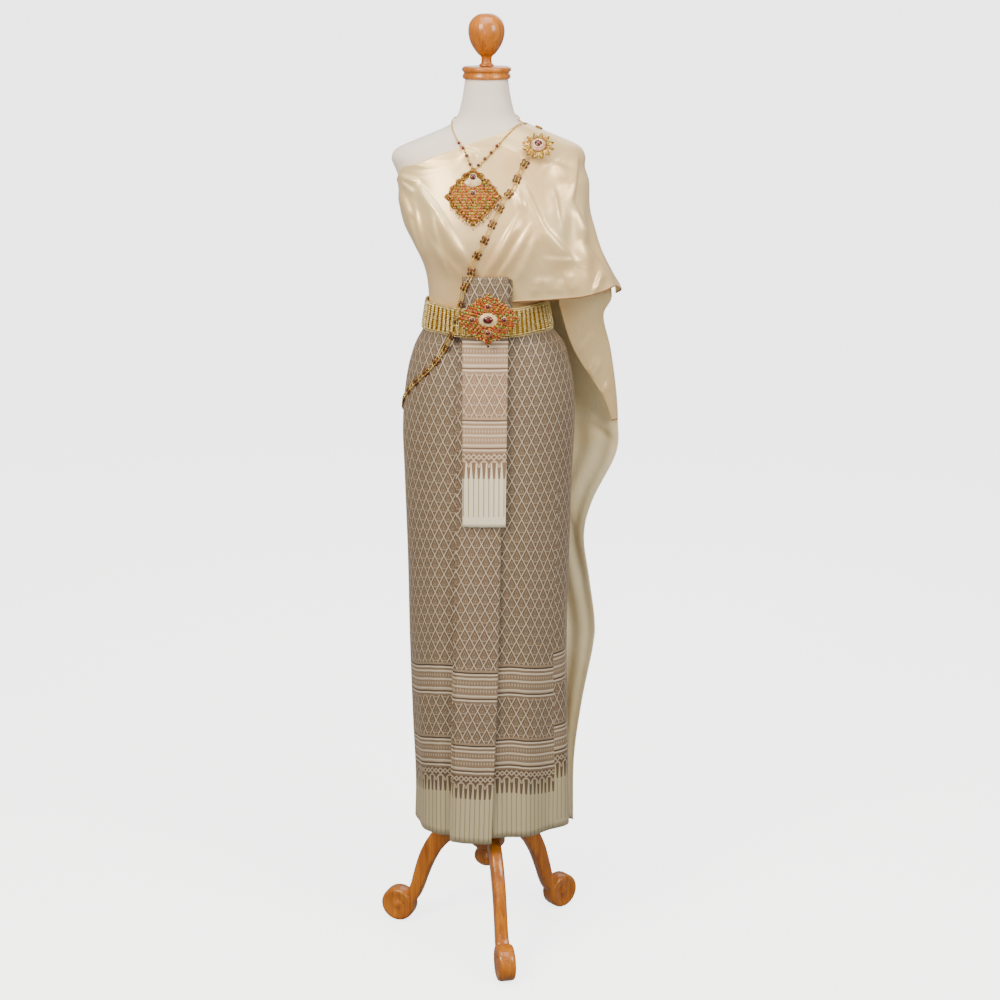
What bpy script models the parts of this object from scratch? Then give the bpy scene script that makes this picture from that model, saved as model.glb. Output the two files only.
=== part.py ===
"""Chut thai dress: satin shawl, brocade tube skirt and gold jewellery on a limbless form and tripod.

Metres, +Z up. The front faces -Y and the wearer's left side is +X.
"""

import math
from collections import namedtuple

import bmesh
import bpy
import numpy as np
from mathutils import Vector
from mathutils.bvhtree import BVHTree

COLLECTION = "chut_thai_dress"

# Cloth walls and the air between layers
SATIN = 0.0012
BROCADE = 0.0014
CLEAR = 0.0005
COLUMNS = 40
FULLNESS = 2.2
HANG_FULLNESS = 2.5
FORM_INSET = 0.0024
FORM_INSET_COVERED = 0.0038

# A level outline: reach to the wearer's right (left), to the left (right), forward and back
Level = namedtuple("Level", "z left right front back")

BODY = [
    Level(0.945, 0.122, 0.122, 0.082, 0.092),
    Level(0.957, 0.142, 0.142, 0.098, 0.108),
    Level(1.030, 0.148, 0.148, 0.103, 0.117),
    Level(1.100, 0.147, 0.147, 0.105, 0.119),
    Level(1.160, 0.134, 0.134, 0.102, 0.108),
    Level(1.215, 0.114, 0.114, 0.097, 0.090),
    Level(1.260, 0.103, 0.103, 0.094, 0.079),
    Level(1.300, 0.104, 0.104, 0.097, 0.078),
    Level(1.335, 0.108, 0.108, 0.103, 0.081),
    Level(1.365, 0.117, 0.117, 0.113, 0.084),
    Level(1.395, 0.132, 0.132, 0.121, 0.087),
    Level(1.425, 0.147, 0.147, 0.122, 0.090),
    Level(1.465, 0.156, 0.156, 0.112, 0.093),
    Level(1.500, 0.159, 0.159, 0.099, 0.094),
    Level(1.522, 0.167, 0.167, 0.090, 0.091),
    Level(1.546, 0.174, 0.174, 0.081, 0.086),
    Level(1.561, 0.164, 0.164, 0.074, 0.081),
    Level(1.575, 0.133, 0.133, 0.068, 0.075),
    Level(1.588, 0.101, 0.101, 0.062, 0.068),
    Level(1.601, 0.071, 0.071, 0.055, 0.061),
    Level(1.615, 0.057, 0.057, 0.049, 0.056),
    Level(1.640, 0.048, 0.048, 0.045, 0.049),
    Level(1.681, 0.041, 0.041, 0.041, 0.042),
]

SKIRT = [
    Level(0.262, 0.143, 0.160, 0.121, 0.119),
    Level(0.330, 0.141, 0.158, 0.120, 0.119),
    Level(0.460, 0.145, 0.155, 0.119, 0.120),
    Level(0.620, 0.149, 0.152, 0.118, 0.121),
    Level(0.800, 0.151, 0.155, 0.117, 0.123),
    Level(0.960, 0.155, 0.159, 0.116, 0.125),
    Level(1.050, 0.157, 0.163, 0.115, 0.126),
    Level(1.120, 0.152, 0.161, 0.113, 0.122),
    Level(1.170, 0.143, 0.152, 0.109, 0.112),
    Level(1.208, 0.130, 0.139, 0.105, 0.100),
    Level(1.235, 0.115, 0.117, 0.101, 0.090),
    Level(1.250, 0.1094, 0.1094, 0.0984, 0.0852),
    Level(1.272, 0.1068, 0.1068, 0.0984, 0.0822),
]

# Soft flutes of the tube skirt: where, how wide, and how far each stands out at the hem
Flute = namedtuple("Flute", "angle width hem top_z")
FLUTES = [
    Flute(24.0, 9.0, 0.009, 0.900),
    Flute(44.0, 8.0, -0.004, 0.800),
    Flute(142.0, 9.0, 0.006, 0.750),
    Flute(163.0, 9.0, -0.004, 0.900),
    Flute(-40.0, 12.0, 0.005, 0.900),
    Flute(-95.0, 14.0, 0.005, 0.800),
    Flute(-140.0, 12.0, 0.005, 0.900),
]

# Upper edge of the satin round the torso, by the cosine of the angle from the wearer's left
NECKLINE_COSINE = [-1.0, -0.95, -0.87, -0.68, -0.45, 0.0, 0.35, 0.6, 1.0]
NECKLINE_Z = [1.503, 1.514, 1.528, 1.537, 1.552, 1.582, 1.592, 1.598, 1.600]
WRAP_BOTTOM_Z = 1.250
WRAP_OFFSET = CLEAR + SATIN / 2
SATIN_LOW_Z = 1.2775
SHOULDER_Z = 1.546
SATIN_ROWS_BELOW = 10
SATIN_ROWS_ABOVE = 5

# The loose front of the shawl: its side reach while it hangs from the shoulder
DRAPE_OFFSET = WRAP_OFFSET + SATIN + 1.8 * CLEAR
DRAPE_START = 171.0
DRAPE_END = -18.0
HANG = [
    Level(1.200, 0.105, 0.254, 0.120, 0.116),
    Level(1.285, 0.105, 0.2495, 0.122, 0.113),
    Level(1.305, 0.108, 0.2470, 0.124, 0.112),
    Level(1.330, 0.112, 0.2330, 0.126, 0.111),
    Level(1.360, 0.120, 0.2170, 0.129, 0.109),
    Level(1.395, 0.135, 0.2010, 0.132, 0.107),
    Level(1.440, 0.152, 0.1880, 0.131, 0.104),
    Level(1.500, 0.163, 0.1850, 0.108, 0.101),
    Level(1.535, 0.172, 0.1815, 0.094, 0.097),
    Level(1.560, 0.168, 0.1740, 0.084, 0.091),
]
HANG_FROM_Z = 1.552
HANG_FULL_Z = 1.500
HANG_FRONT_ANGLES = (76.0, 50.0)
HANG_BACK_ANGLES = (-150.0, -105.0)
DRAPE_HEM_ANGLE = [-18.0, 0.0, 18.0, 36.0, 54.0, 63.0, 72.0, 81.0, 171.0]
DRAPE_HEM_Z = [1.288, 1.302, 1.315, 1.310, 1.303, 1.298, 1.2925, 1.2775, 1.2775]

# Soft ridges pressed into the satin: from one place to another, by angle and height
Ridge = namedtuple("Ridge", "angle_low z_low angle_high z_high width height")
RIDGES = [
    Ridge(68.0, 1.315, 46.0, 1.480, 0.022, 0.0050),
    Ridge(48.0, 1.310, 26.0, 1.470, 0.024, 0.0060),
    Ridge(22.0, 1.310, 8.0, 1.450, 0.024, 0.0050),
    Ridge(104.0, 1.350, 126.0, 1.490, 0.022, 0.0030),
]

# The end of the shawl that falls behind: outer edge, inner edge and depth at each height
Fall = namedtuple("Fall", "z outer outer_y inner back")
FALL = [
    Fall(0.202, 0.1725, 0.098, -0.010, 0.142),
    Fall(0.337, 0.1732, 0.100, -0.014, 0.142),
    Fall(0.460, 0.1879, 0.100, -0.018, 0.142),
    Fall(0.574, 0.2085, 0.100, -0.022, 0.142),
    Fall(0.630, 0.2110, 0.100, -0.024, 0.142),
    Fall(0.719, 0.1989, 0.100, -0.028, 0.142),
    Fall(0.803, 0.1881, 0.100, -0.032, 0.142),
    Fall(0.874, 0.2038, 0.100, -0.036, 0.142),
    Fall(0.968, 0.2481, 0.100, -0.042, 0.142),
    Fall(1.034, 0.2509, 0.098, -0.048, 0.140),
    Fall(1.096, 0.2461, 0.092, -0.052, 0.136),
    Fall(1.178, 0.2334, 0.078, -0.050, 0.128),
    Fall(1.245, 0.2180, 0.052, -0.043, 0.120),
    Fall(1.285, 0.2320, 0.034, -0.039, 0.114),
]
FALL_START = -18.4
FALL_END = -108.0
FALL_WAVES = 3.5
FALL_WAVE_HEIGHT = 0.009
FALL_WAVE_FROM_Z = 1.150

# The outer border turned forward beside the hip
TURN_GAP = 0.0015
TURN_ROWS = 7
TURN_COLUMNS = 5
TURN_Z = (1.036, 1.272)
TURN_INNER_Z = [1.036, 1.060, 1.195, 1.272]
TURN_INNER_X = [0.2380, 0.2310, 0.1560, 0.1320]
TURN_INNER_Y = [0.0860, 0.0780, 0.0400, 0.0300]
TURN_BOW = (0.04, -0.10, 0.0)

# The stacked pleats that hang down the front
PLEAT_LEAVES = 4
PLEAT_THICK = 0.0010
PLEAT_PITCH_TOP = 0.0015
PLEAT_PITCH_HEM = 0.0024
Panel = namedtuple("Panel", "z left right")
PANEL = [
    Panel(0.254, -0.0715, 0.0068),
    Panel(0.600, -0.0640, 0.0200),
    Panel(0.880, -0.0563, 0.0258),
    Panel(1.160, -0.0530, 0.0320),
    Panel(1.262, -0.0460, 0.0360),
]

# The upper end of the pleats, pulled up and folded over to the front
FLAP_THICK = 0.0020
FLAP_TOP_Z = 1.343
FLAP_HEM_Z = 0.8845
FLAP_INNER_HEM_Z = 1.2400
FLAP_LEFT = [-0.0445, -0.0430]
FLAP_RIGHT = [0.0342, 0.0400]
FLAP_INNER_DEPTH = [0.1092, 0.1148]
FLAP_OUTER_DEPTH = 0.1190
FLAP_FOLD_DEPTH = 0.1215
FLAP_COLUMNS = 7

# The bead-link belt and its stepped rhombic buckle
BELT = [
    Level(1.2350, 0.1168, 0.1188, 0.1030, 0.0920),
    Level(1.2870, 0.1088, 0.1088, 0.1010, 0.0836),
]
BELT_THICK = 0.0042
BELT_BEAD = 0.0022
BELT_COLUMNS = 46
BELT_FRONT_OUT = 0.0208
BELT_FRONT_FLAT = 0.048
BELT_FRONT_END = 0.088
BELT_ROWS = 3

# A jewel: its middle by x and height, half width and half height, base, lean back in degrees, sides
Jewel = namedtuple("Jewel", "name centre reach thick tilt sides")
Ring = namedtuple("Ring", "share height")
BUCKLE = Jewel("belt_buckle", (0.0028, 1.2700), (0.0555, 0.0445), 0.0025, 0.0, 48)
BUCKLE_RINGS = [
    Ring(0.0, 0.0115),
    Ring(0.14, 0.0095),
    Ring(0.24, 0.0050),
    Ring(0.42, 0.0072),
    Ring(0.58, 0.0040),
    Ring(0.80, 0.0050),
    Ring(1.0, 0.0022),
]

PENDANT = Jewel("pendant", (-0.0235, 1.4835), (0.0490, 0.0510), 0.0022, 19.0, 48)
PENDANT_RINGS = [
    Ring(0.0, 0.0065),
    Ring(0.20, 0.0050),
    Ring(0.34, 0.0028),
    Ring(0.55, 0.0046),
    Ring(0.78, 0.0030),
    Ring(1.0, 0.0018),
]

BROOCH = Jewel("shoulder_brooch", (0.0916, 1.5690), (0.0290, 0.0290), 0.0022, 42.0, 36)
BROOCH_RINGS = [
    Ring(0.0, 0.0085),
    Ring(0.22, 0.0065),
    Ring(0.38, 0.0030),
    Ring(0.62, 0.0042),
    Ring(1.0, 0.0018),
]

# The flower sash chain, by points just outside the cloth from the brooch to the hip and up the back
SASH_FRONT = [
    (0.0700, -0.085, 1.5430),
    (0.0557, -0.110, 1.5210),
    (0.0390, -0.130, 1.5000),
    (0.0270, -0.140, 1.4750),
    (0.0125, -0.150, 1.4460),
    (-0.0008, -0.150, 1.4140),
    (-0.0133, -0.150, 1.3855),
    (-0.0260, -0.145, 1.3550),
    (-0.0440, -0.130, 1.3246),
    (-0.0530, -0.130, 1.2970),
    (-0.0640, -0.130, 1.2690),
    (-0.0750, -0.125, 1.2360),
    (-0.0895, -0.115, 1.2104),
    (-0.1080, -0.105, 1.1830),
    (-0.1260, -0.085, 1.1590),
    (-0.1430, -0.060, 1.1350),
    (-0.1560, -0.030, 1.1100),
    (-0.1640, -0.004, 1.0886),
]
SASH_BACK = [
    (-0.1620, 0.0280, 1.0760),
    (-0.1500, 0.0640, 1.0800),
    (-0.1250, 0.1000, 1.1000),
    (-0.0950, 0.1250, 1.1350),
    (-0.0700, 0.1350, 1.1750),
    (-0.0450, 0.1400, 1.2200),
    (-0.0150, 0.1380, 1.2800),
    (0.0150, 0.1300, 1.3400),
    (0.0420, 0.1250, 1.4000),
    (0.0640, 0.1200, 1.4600),
    (0.0800, 0.1150, 1.5100),
    (0.0900, 0.1000, 1.5500),
    (0.0960, 0.0700, 1.5850),
    (0.0980, 0.0300, 1.6020),
    (0.0970, -0.0050, 1.6050),
]
SASH_PITCH = 0.0330
SASH_THICK = 0.0022
SASH_CLEAR = 0.0015
# One flower along the chain: distance from its middle and half width there
Petal = namedtuple("Petal", "along half_width")
PETALS = [
    Petal(-0.0088, 0.0016),
    Petal(-0.0056, 0.0070),
    Petal(0.0, 0.0032),
    Petal(0.0056, 0.0070),
    Petal(0.0088, 0.0016),
]

NECKLACE_RADIUS = 0.0014
NECKLACE_SIDES = 6
NECKLACE_STEPS = 44
NECKLACE = [
    (-0.0235, -0.130, 1.5520),
    (-0.0360, -0.115, 1.5545),
    (-0.0470, -0.100, 1.5750),
    (-0.0590, -0.070, 1.5960),
    (-0.0690, -0.030, 1.6120),
    (-0.0700, 0.010, 1.6180),
    (-0.0500, 0.055, 1.6230),
    (0.0000, 0.075, 1.6240),
    (0.0500, 0.055, 1.6250),
    (0.0700, 0.010, 1.6220),
    (0.0650, -0.030, 1.6170),
    (0.0480, -0.070, 1.6040),
    (0.0210, -0.095, 1.5800),
    (0.0085, -0.110, 1.5650),
    (-0.0075, -0.120, 1.5500),
]

# The turned neck cap, ball, pole and hub, as radius by height from the top down
Turn = namedtuple("Turn", "radius z")
CAP = [
    Turn(0.0400, 1.7035),
    Turn(0.0440, 1.7010),
    Turn(0.0440, 1.6960),
    Turn(0.0400, 1.6930),
    Turn(0.0430, 1.6880),
    Turn(0.0430, 1.6835),
    Turn(0.0400, 1.6815),
]
FINIAL = [
    Turn(0.0120, 1.7950),
    Turn(0.0220, 1.7900),
    Turn(0.0300, 1.7790),
    Turn(0.0325, 1.7660),
    Turn(0.0310, 1.7530),
    Turn(0.0260, 1.7400),
    Turn(0.0170, 1.7270),
    Turn(0.0095, 1.7210),
    Turn(0.0095, 1.7100),
    Turn(0.0130, 1.7045),
    Turn(0.0130, 1.7040),
]
POLE_RADIUS = 0.0125
POLE_Z = (0.2905, 0.9445)
HUB = [
    Turn(0.0150, 0.2900),
    Turn(0.0190, 0.2860),
    Turn(0.0200, 0.2700),
    Turn(0.0340, 0.2620),
    Turn(0.0340, 0.1980),
    Turn(0.0280, 0.1920),
    Turn(0.0215, 0.1860),
    Turn(0.0270, 0.1760),
    Turn(0.0270, 0.1660),
    Turn(0.0180, 0.1550),
    Turn(0.0080, 0.1520),
]
TURNED_SIDES = 24

# A leg in its upright plane: distance from the pole, height, depth in the plane and width across
Leg = namedtuple("Leg", "reach z depth width")
LEG = [
    Leg(0.0346, 0.2300, 0.0480, 0.0260),
    Leg(0.0600, 0.2250, 0.0440, 0.0260),
    Leg(0.0860, 0.2090, 0.0400, 0.0260),
    Leg(0.1100, 0.1820, 0.0370, 0.0260),
    Leg(0.1290, 0.1470, 0.0340, 0.0260),
    Leg(0.1430, 0.1080, 0.0300, 0.0260),
    Leg(0.1530, 0.0720, 0.0270, 0.0270),
    Leg(0.1580, 0.0560, 0.0300, 0.0290),
    Leg(0.1700, 0.0350, 0.0544, 0.0330),
    Leg(0.1780, 0.0350, 0.0642, 0.0340),
    Leg(0.1860, 0.0350, 0.0700, 0.0340),
    Leg(0.1980, 0.0350, 0.0700, 0.0340),
    Leg(0.2060, 0.0350, 0.0642, 0.0340),
    Leg(0.2140, 0.0350, 0.0544, 0.0340),
    Leg(0.2200, 0.0350, 0.0420, 0.0340),
    Leg(0.2254, 0.0350, 0.0200, 0.0330),
]
FOOT_Z = 0.035
NECK_OF_FOOT = (0.70, -0.70)
LEG_ANGLES = {
    "stand_leg_front": -80.0,
    "stand_leg_right": 40.0,
    "stand_leg_left": 160.0,
}
LEG_EDGE = 0.30

COLOURS = {
    "satin": (0.90, 0.78, 0.60, 1.0),
    "brocade": (0.36, 0.28, 0.22, 1.0),
    "gold": (0.72, 0.56, 0.22, 1.0),
    "garnet_and_gold": (0.48, 0.16, 0.08, 1.0),
    "jersey": (0.82, 0.80, 0.76, 1.0),
    "wood": (0.55, 0.28, 0.08, 1.0),
}


def clear_scene():
    """Remove everything that the scene holds."""
    for leftover in list(bpy.data.objects):
        bpy.data.objects.remove(leftover, do_unlink=True)


def make_material(name, colour):
    """One plain Principled material."""
    material = bpy.data.materials.new(name)
    material.use_nodes = True
    shader = material.node_tree.nodes["Principled BSDF"]
    shader.inputs["Base Color"].default_value = colour
    shader.inputs["Roughness"].default_value = 0.5
    shader.inputs["Metallic"].default_value = 1.0 if "gold" in name else 0.0
    return material


def make_solid(name, points, faces, material):
    """One closed object, its faces turned outward."""
    mesh = bpy.data.meshes.new(name)
    mesh.from_pydata([tuple(map(float, point)) for point in points], [], faces)
    work = bmesh.new()
    work.from_mesh(mesh)
    bmesh.ops.recalc_face_normals(work, faces=work.faces)
    work.to_mesh(mesh)
    work.free()
    solid = bpy.data.objects.new(name, mesh)
    mesh.materials.append(bpy.data.materials[material])
    bpy.data.collections[COLLECTION].objects.link(solid)
    return solid


def bridge(first, second, count, closed):
    """Quads between two runs of points that start at these indices."""
    steps = range(count) if closed else range(count - 1)
    return [
        (first + k, first + (k + 1) % count, second + (k + 1) % count, second + k)
        for k in steps
    ]


def loft(name, loops, material):
    """A solid through closed loops of equal count, with flat ends."""
    count = len(loops[0])
    faces = []
    for level in range(len(loops) - 1):
        faces += bridge(level * count, (level + 1) * count, count, True)
    last = (len(loops) - 1) * count
    faces.append(tuple(range(count)))
    faces.append(tuple(range(last, last + count)))
    return make_solid(name, np.concatenate(loops), faces, material)


def grid_normals(grid, closed):
    """Outward unit normals of a grid whose rows run upward and whose columns run left round the front."""
    upward = np.gradient(grid, axis=0)
    if closed:
        around = np.roll(grid, -1, 1) - np.roll(grid, 1, 1)
    else:
        around = np.gradient(grid, axis=1)
    normals = np.cross(upward, around)
    return normals / np.linalg.norm(normals, axis=2, keepdims=True)


def wall(name, grid, thickness, material, closed):
    """A cloth wall of one thickness with the grid along its middle."""
    rows, columns = grid.shape[:2]
    out = grid_normals(grid, closed) * thickness / 2
    skins = np.concatenate([(grid + out).reshape(-1, 3), (grid - out).reshape(-1, 3)])
    inner = rows * columns
    faces = []
    for row in range(rows - 1):
        low, high = row * columns, (row + 1) * columns
        faces += bridge(low, high, columns, closed)
        mirrored = bridge(inner + low, inner + high, columns, closed)
        faces += [(first, fourth, third, second) for first, second, third, fourth in mirrored]
    top = (rows - 1) * columns
    faces += bridge(inner, 0, columns, closed)
    faces += bridge(top, inner + top, columns, closed)
    if not closed:
        for row in range(rows - 1):
            for side in (0, columns - 1):
                low, high = row * columns + side, (row + 1) * columns + side
                faces.append((low, high, inner + high, inner + low))
    return make_solid(name, skins, faces, material)


def signed_power(value, power):
    """A power that keeps the sign of its base."""
    return np.sign(value) * np.abs(value) ** power


def smooth_step(value, start, end):
    """0 at start, 1 at end and smooth between them."""
    share = np.clip((value - start) / (end - start), 0.0, 1.0)
    return share * share * (3 - 2 * share)


def outline_points(levels, heights, angles, fullness):
    """Points at these heights and angles on the surface through a table of level outlines."""
    table = np.array(levels)
    left, right, front, back = (np.interp(heights, table[:, 0], table[:, k]) for k in (1, 2, 3, 4))
    across = signed_power(np.cos(angles), 2 / fullness)
    forward = signed_power(np.sin(angles), 2 / fullness)
    x = np.where(across > 0, right, left) * across
    y = -np.where(forward > 0, front, back) * forward
    return np.stack([x, y, heights + 0 * x], axis=-1)


def column_angles(count):
    """Angles of a full turn, from the wearer's left (0) to the front (90 degrees) and on."""
    return np.arange(count) * 2 * math.pi / count


def body_run():
    """Distance along the body's side profile at each row of the table."""
    table = np.array(BODY)
    steps = np.hypot(np.diff(table[:, 0]), np.diff(table[:, 2]))
    return np.concatenate([[0.0], np.cumsum(steps)])


def heights_between(low_z, high_z, rows):
    """Heights that share out the body's side profile evenly between two heights in each column."""
    table, run = np.array(BODY), body_run()
    low, high = np.interp(low_z, table[:, 0], run), np.interp(high_z, table[:, 0], run)
    shares = np.linspace(0.0, 1.0, rows)[:, None]
    return np.interp(low + shares * (high - low), run, table[:, 0])


def satin_relief(grid, angles):
    """How far the soft ridges lift each point of the satin."""
    lift = np.zeros(grid.shape[:2])
    turn = np.degrees(angles)
    for ridge in RIDGES:
        share = (grid[..., 2] - ridge.z_low) / (ridge.z_high - ridge.z_low)
        centre = ridge.angle_low + share * (ridge.angle_high - ridge.angle_low)
        reach = np.hypot(grid[..., 0], grid[..., 1])
        away = np.radians(turn - centre) * reach
        along = smooth_step(share, -0.15, 0.2) * smooth_step(share, 1.15, 0.7)
        lift += ridge.height * np.exp(-((away / ridge.width) ** 2)) * along
    return lift


def shawl_surface(heights, angles):
    """The loose shawl: close over chest and shoulder, hanging free at the wearer's left."""
    close = outline_points(BODY, heights, angles, FULLNESS)
    close = close + grid_normals(close, False) * DRAPE_OFFSET
    hanging = outline_points(HANG, heights, angles, HANG_FULLNESS)
    turn = np.degrees(angles)
    free = smooth_step(heights, HANG_FROM_Z, HANG_FULL_Z)
    free = free * smooth_step(turn, *HANG_FRONT_ANGLES) * smooth_step(turn, *HANG_BACK_ANGLES)
    grid = close + (hanging - close) * free[..., None]
    return grid + grid_normals(grid, False) * satin_relief(grid, angles)[..., None]


def neckline_z(angles):
    """Height of the satin's upper edge at each angle."""
    return np.interp(np.cos(angles), NECKLINE_COSINE, NECKLINE_Z)


def satin_heights(low_z, angles):
    """Row heights from the lower edge up to the neckline, with one row always on the shoulder point."""
    top = neckline_z(angles)
    shoulder = np.minimum(SHOULDER_Z, top - 0.035)
    below = heights_between(low_z, shoulder, SATIN_ROWS_BELOW)
    above = heights_between(shoulder, top, SATIN_ROWS_ABOVE)
    return np.concatenate([below, above[1:]])


def build_form():
    """The limbless torso with its neck."""
    heights = np.repeat(np.array([row.z for row in BODY])[:, None], COLUMNS, axis=1)
    angles = np.broadcast_to(column_angles(COLUMNS), heights.shape)
    grid = outline_points(BODY, heights, angles, FULLNESS)
    outward = grid_normals(grid, True)
    outward[[0, -1], :, 2] = 0.0
    covered = (np.cos(angles) > -0.1) & (heights > 1.45) & (heights < 1.595)
    inset = np.where(covered, FORM_INSET_COVERED, FORM_INSET)
    return loft("form_torso", grid - inset[..., None] * outward, "jersey")


def build_wrap():
    """The shawl's first turn round the torso, over one shoulder."""
    angles = column_angles(COLUMNS)
    upper = satin_heights(np.full(COLUMNS, SATIN_LOW_Z), angles)
    heights = np.concatenate([np.full((1, COLUMNS), WRAP_BOTTOM_Z), upper])
    grid = outline_points(BODY, heights, angles, FULLNESS)
    grid = grid + grid_normals(grid, True) * WRAP_OFFSET
    return wall("sabai_chest_wrap", grid, SATIN, "satin", True)


def build_drape():
    """The front of the shawl, from the right side across the chest and over the left shoulder."""
    angles = np.radians(np.arange(DRAPE_END, DRAPE_START + 1.0, 360.0 / COLUMNS))
    low = np.interp(np.degrees(angles), DRAPE_HEM_ANGLE, DRAPE_HEM_Z)
    heights = satin_heights(low, angles)
    grid = shawl_surface(heights, np.broadcast_to(angles, heights.shape))
    return wall("sabai_front_drape", grid, SATIN, "satin", False)


def fall_at(column, heights):
    """One column of the falls table at these heights."""
    table = np.array(FALL)
    return np.interp(heights, table[:, 0], table[:, Fall._fields.index(column)])


def fall_low_points(heights, shares):
    """The part of the fall below the waist, by height and share of its width from the outer edge."""
    outer, inner = fall_at("outer", heights), fall_at("inner", heights)
    x = outer + shares * (inner - outer)
    reach = smooth_step(shares, 0.0, 0.45)
    outer_y = fall_at("outer_y", heights)
    y = outer_y + reach * (fall_at("back", heights) - outer_y)
    swell = smooth_step(heights, FALL_WAVE_FROM_Z, FALL_WAVE_FROM_Z - 0.35)
    wave = 0.5 - 0.5 * np.cos(shares * FALL_WAVES * 2 * math.pi)
    return np.stack([x, y + FALL_WAVE_HEIGHT * swell * wave, heights], axis=-1)


def build_fall():
    """The back of the shawl, from the left shoulder down to its end near the hem."""
    turns = np.append(np.arange(FALL_END, FALL_START - 1.0, 360.0 / COLUMNS), FALL_START)
    angles, shares = np.radians(turns), np.linspace(1.0, 0.0, len(turns))
    low_heights = np.repeat(np.array([row.z for row in FALL])[:, None], len(turns), axis=1)
    low = fall_low_points(low_heights, np.broadcast_to(shares, low_heights.shape))
    heights = satin_heights(np.full(len(turns), SATIN_LOW_Z), angles)[2:]
    high = shawl_surface(heights, np.broadcast_to(angles, heights.shape))
    return wall("sabai_back_fall", np.concatenate([low, high]), SATIN, "satin", False)


def build_turnback():
    """The outer border of the fall, turned forward beside the hip."""
    levels = np.linspace(*TURN_Z, TURN_ROWS)
    rows = []
    for z in levels:
        outer = np.array([fall_at("outer", z) - TURN_GAP, fall_at("outer_y", z) - TURN_GAP, z])
        inner_x = np.interp(z, TURN_INNER_Z, TURN_INNER_X)
        inner_y = np.interp(z, TURN_INNER_Z, TURN_INNER_Y)
        inner = np.array([inner_x, inner_y, z])
        shares = np.linspace(0.0, 1.0, TURN_COLUMNS)[:, None]
        swell = np.array([TURN_BOW]) * np.linalg.norm(outer - inner)
        rows.append(outer + shares * (inner - outer) + np.sin(shares * math.pi) * swell)
    return wall("sabai_turnback", np.array(rows), SATIN, "satin", False)


def skirt_points(heights, angles):
    """The middle of the skirt's wall, with its flutes."""
    grid = outline_points(SKIRT, heights, angles, FULLNESS)
    turn = np.degrees(angles)
    lift = np.zeros(grid.shape[:2])
    for flute in FLUTES:
        away = (turn - flute.angle + 180.0) % 360.0 - 180.0
        grown = smooth_step(heights, flute.top_z, SKIRT[0].z)
        lift += flute.hem * grown * np.exp(-((away / flute.width) ** 2))
    return grid + grid_normals(grid, True) * lift[..., None]


def build_skirt():
    """The brocade tube from waist to hem."""
    heights = np.repeat(np.array([row.z for row in SKIRT])[:, None], COLUMNS, axis=1)
    angles = np.broadcast_to(column_angles(COLUMNS), heights.shape)
    return wall("skirt_tube", skirt_points(heights, angles), BROCADE, "brocade", True)


def skirt_front(x, z):
    """Depth of the skirt's outer face at the front, at one place."""
    table = np.array(SKIRT)
    side = np.interp(z, table[:, 0], table[:, 2 if x > 0 else 1])
    front = np.interp(z, table[:, 0], table[:, 3])
    inside = max(0.0, 1 - (abs(x) / side) ** FULLNESS)
    return -front * inside ** (1 / FULLNESS) - BROCADE / 2


def mitred_outline(line, half):
    """A closed outline this far to both sides of a line of points."""
    line = np.array(line)
    steps = np.diff(line, axis=0)
    sides = np.column_stack([-steps[:, 1], steps[:, 0]]) / np.linalg.norm(steps, axis=1)[:, None]
    before, after = np.vstack([sides[:1], sides]), np.vstack([sides, sides[-1:]])
    shift = half * (before + after) / (1 + (before * after).sum(axis=1))[:, None]
    return np.concatenate([line + shift, (line - shift)[::-1]])


def pleat_line(left, right, pitch):
    """The folded line of the pleats as x and depth, from the skirt outward."""
    line = []
    for leaf in range(PLEAT_LEAVES):
        stops = np.linspace(left, right, 4)
        for x in stops if leaf % 2 == 0 else stops[::-1]:
            line.append((x, leaf * pitch + 2.5 * CLEAR + PLEAT_THICK / 2))
    return line


def build_pleats():
    """The stack of pleats down the front of the skirt."""
    table = np.array(PANEL)
    top, hem = PANEL[-1].z, PANEL[0].z
    loops = []
    for z in [hem] + [row.z for row in SKIRT if hem + 0.02 < row.z < top] + [top]:
        left, right = (np.interp(z, table[:, 0], table[:, k]) for k in (1, 2))
        pitch = PLEAT_PITCH_HEM + (PLEAT_PITCH_TOP - PLEAT_PITCH_HEM) * (z - hem) / (top - hem)
        outline = mitred_outline(pleat_line(left, right, pitch), PLEAT_THICK / 2)
        loops.append([(x, skirt_front(x, z) - depth, z) for x, depth in outline])
    return loft("skirt_front_pleats", np.array(loops), "brocade")


def flap_line():
    """The flap's side profile as height and depth, up behind the belt, over the top and down."""
    line = []
    for z in np.linspace(FLAP_INNER_HEM_Z, FLAP_TOP_Z - 0.006, 4):
        line.append((z, np.interp(z, [FLAP_INNER_HEM_Z, FLAP_TOP_Z], FLAP_INNER_DEPTH)))
    line.append((FLAP_TOP_Z - 0.0015, (FLAP_INNER_DEPTH[1] + FLAP_FOLD_DEPTH) / 2 - 0.0018))
    line.append((FLAP_TOP_Z - 0.0015, (FLAP_INNER_DEPTH[1] + FLAP_FOLD_DEPTH) / 2 + 0.0018))
    stack = CLEAR * 3.5 + PLEAT_THICK + (PLEAT_LEAVES - 1) * PLEAT_PITCH_HEM + FLAP_THICK
    below = [row.z for row in SKIRT[::-1] if row.z > FLAP_HEM_Z]
    for z in [FLAP_TOP_Z - 0.006, FLAP_TOP_Z - 0.035] + below + [FLAP_HEM_Z]:
        resting = -skirt_front(0.0, min(z, SKIRT[-1].z)) + stack
        line.append((z, max(resting, FLAP_OUTER_DEPTH + 0.0010 * (z > SKIRT[-1].z))))
    return line


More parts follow.
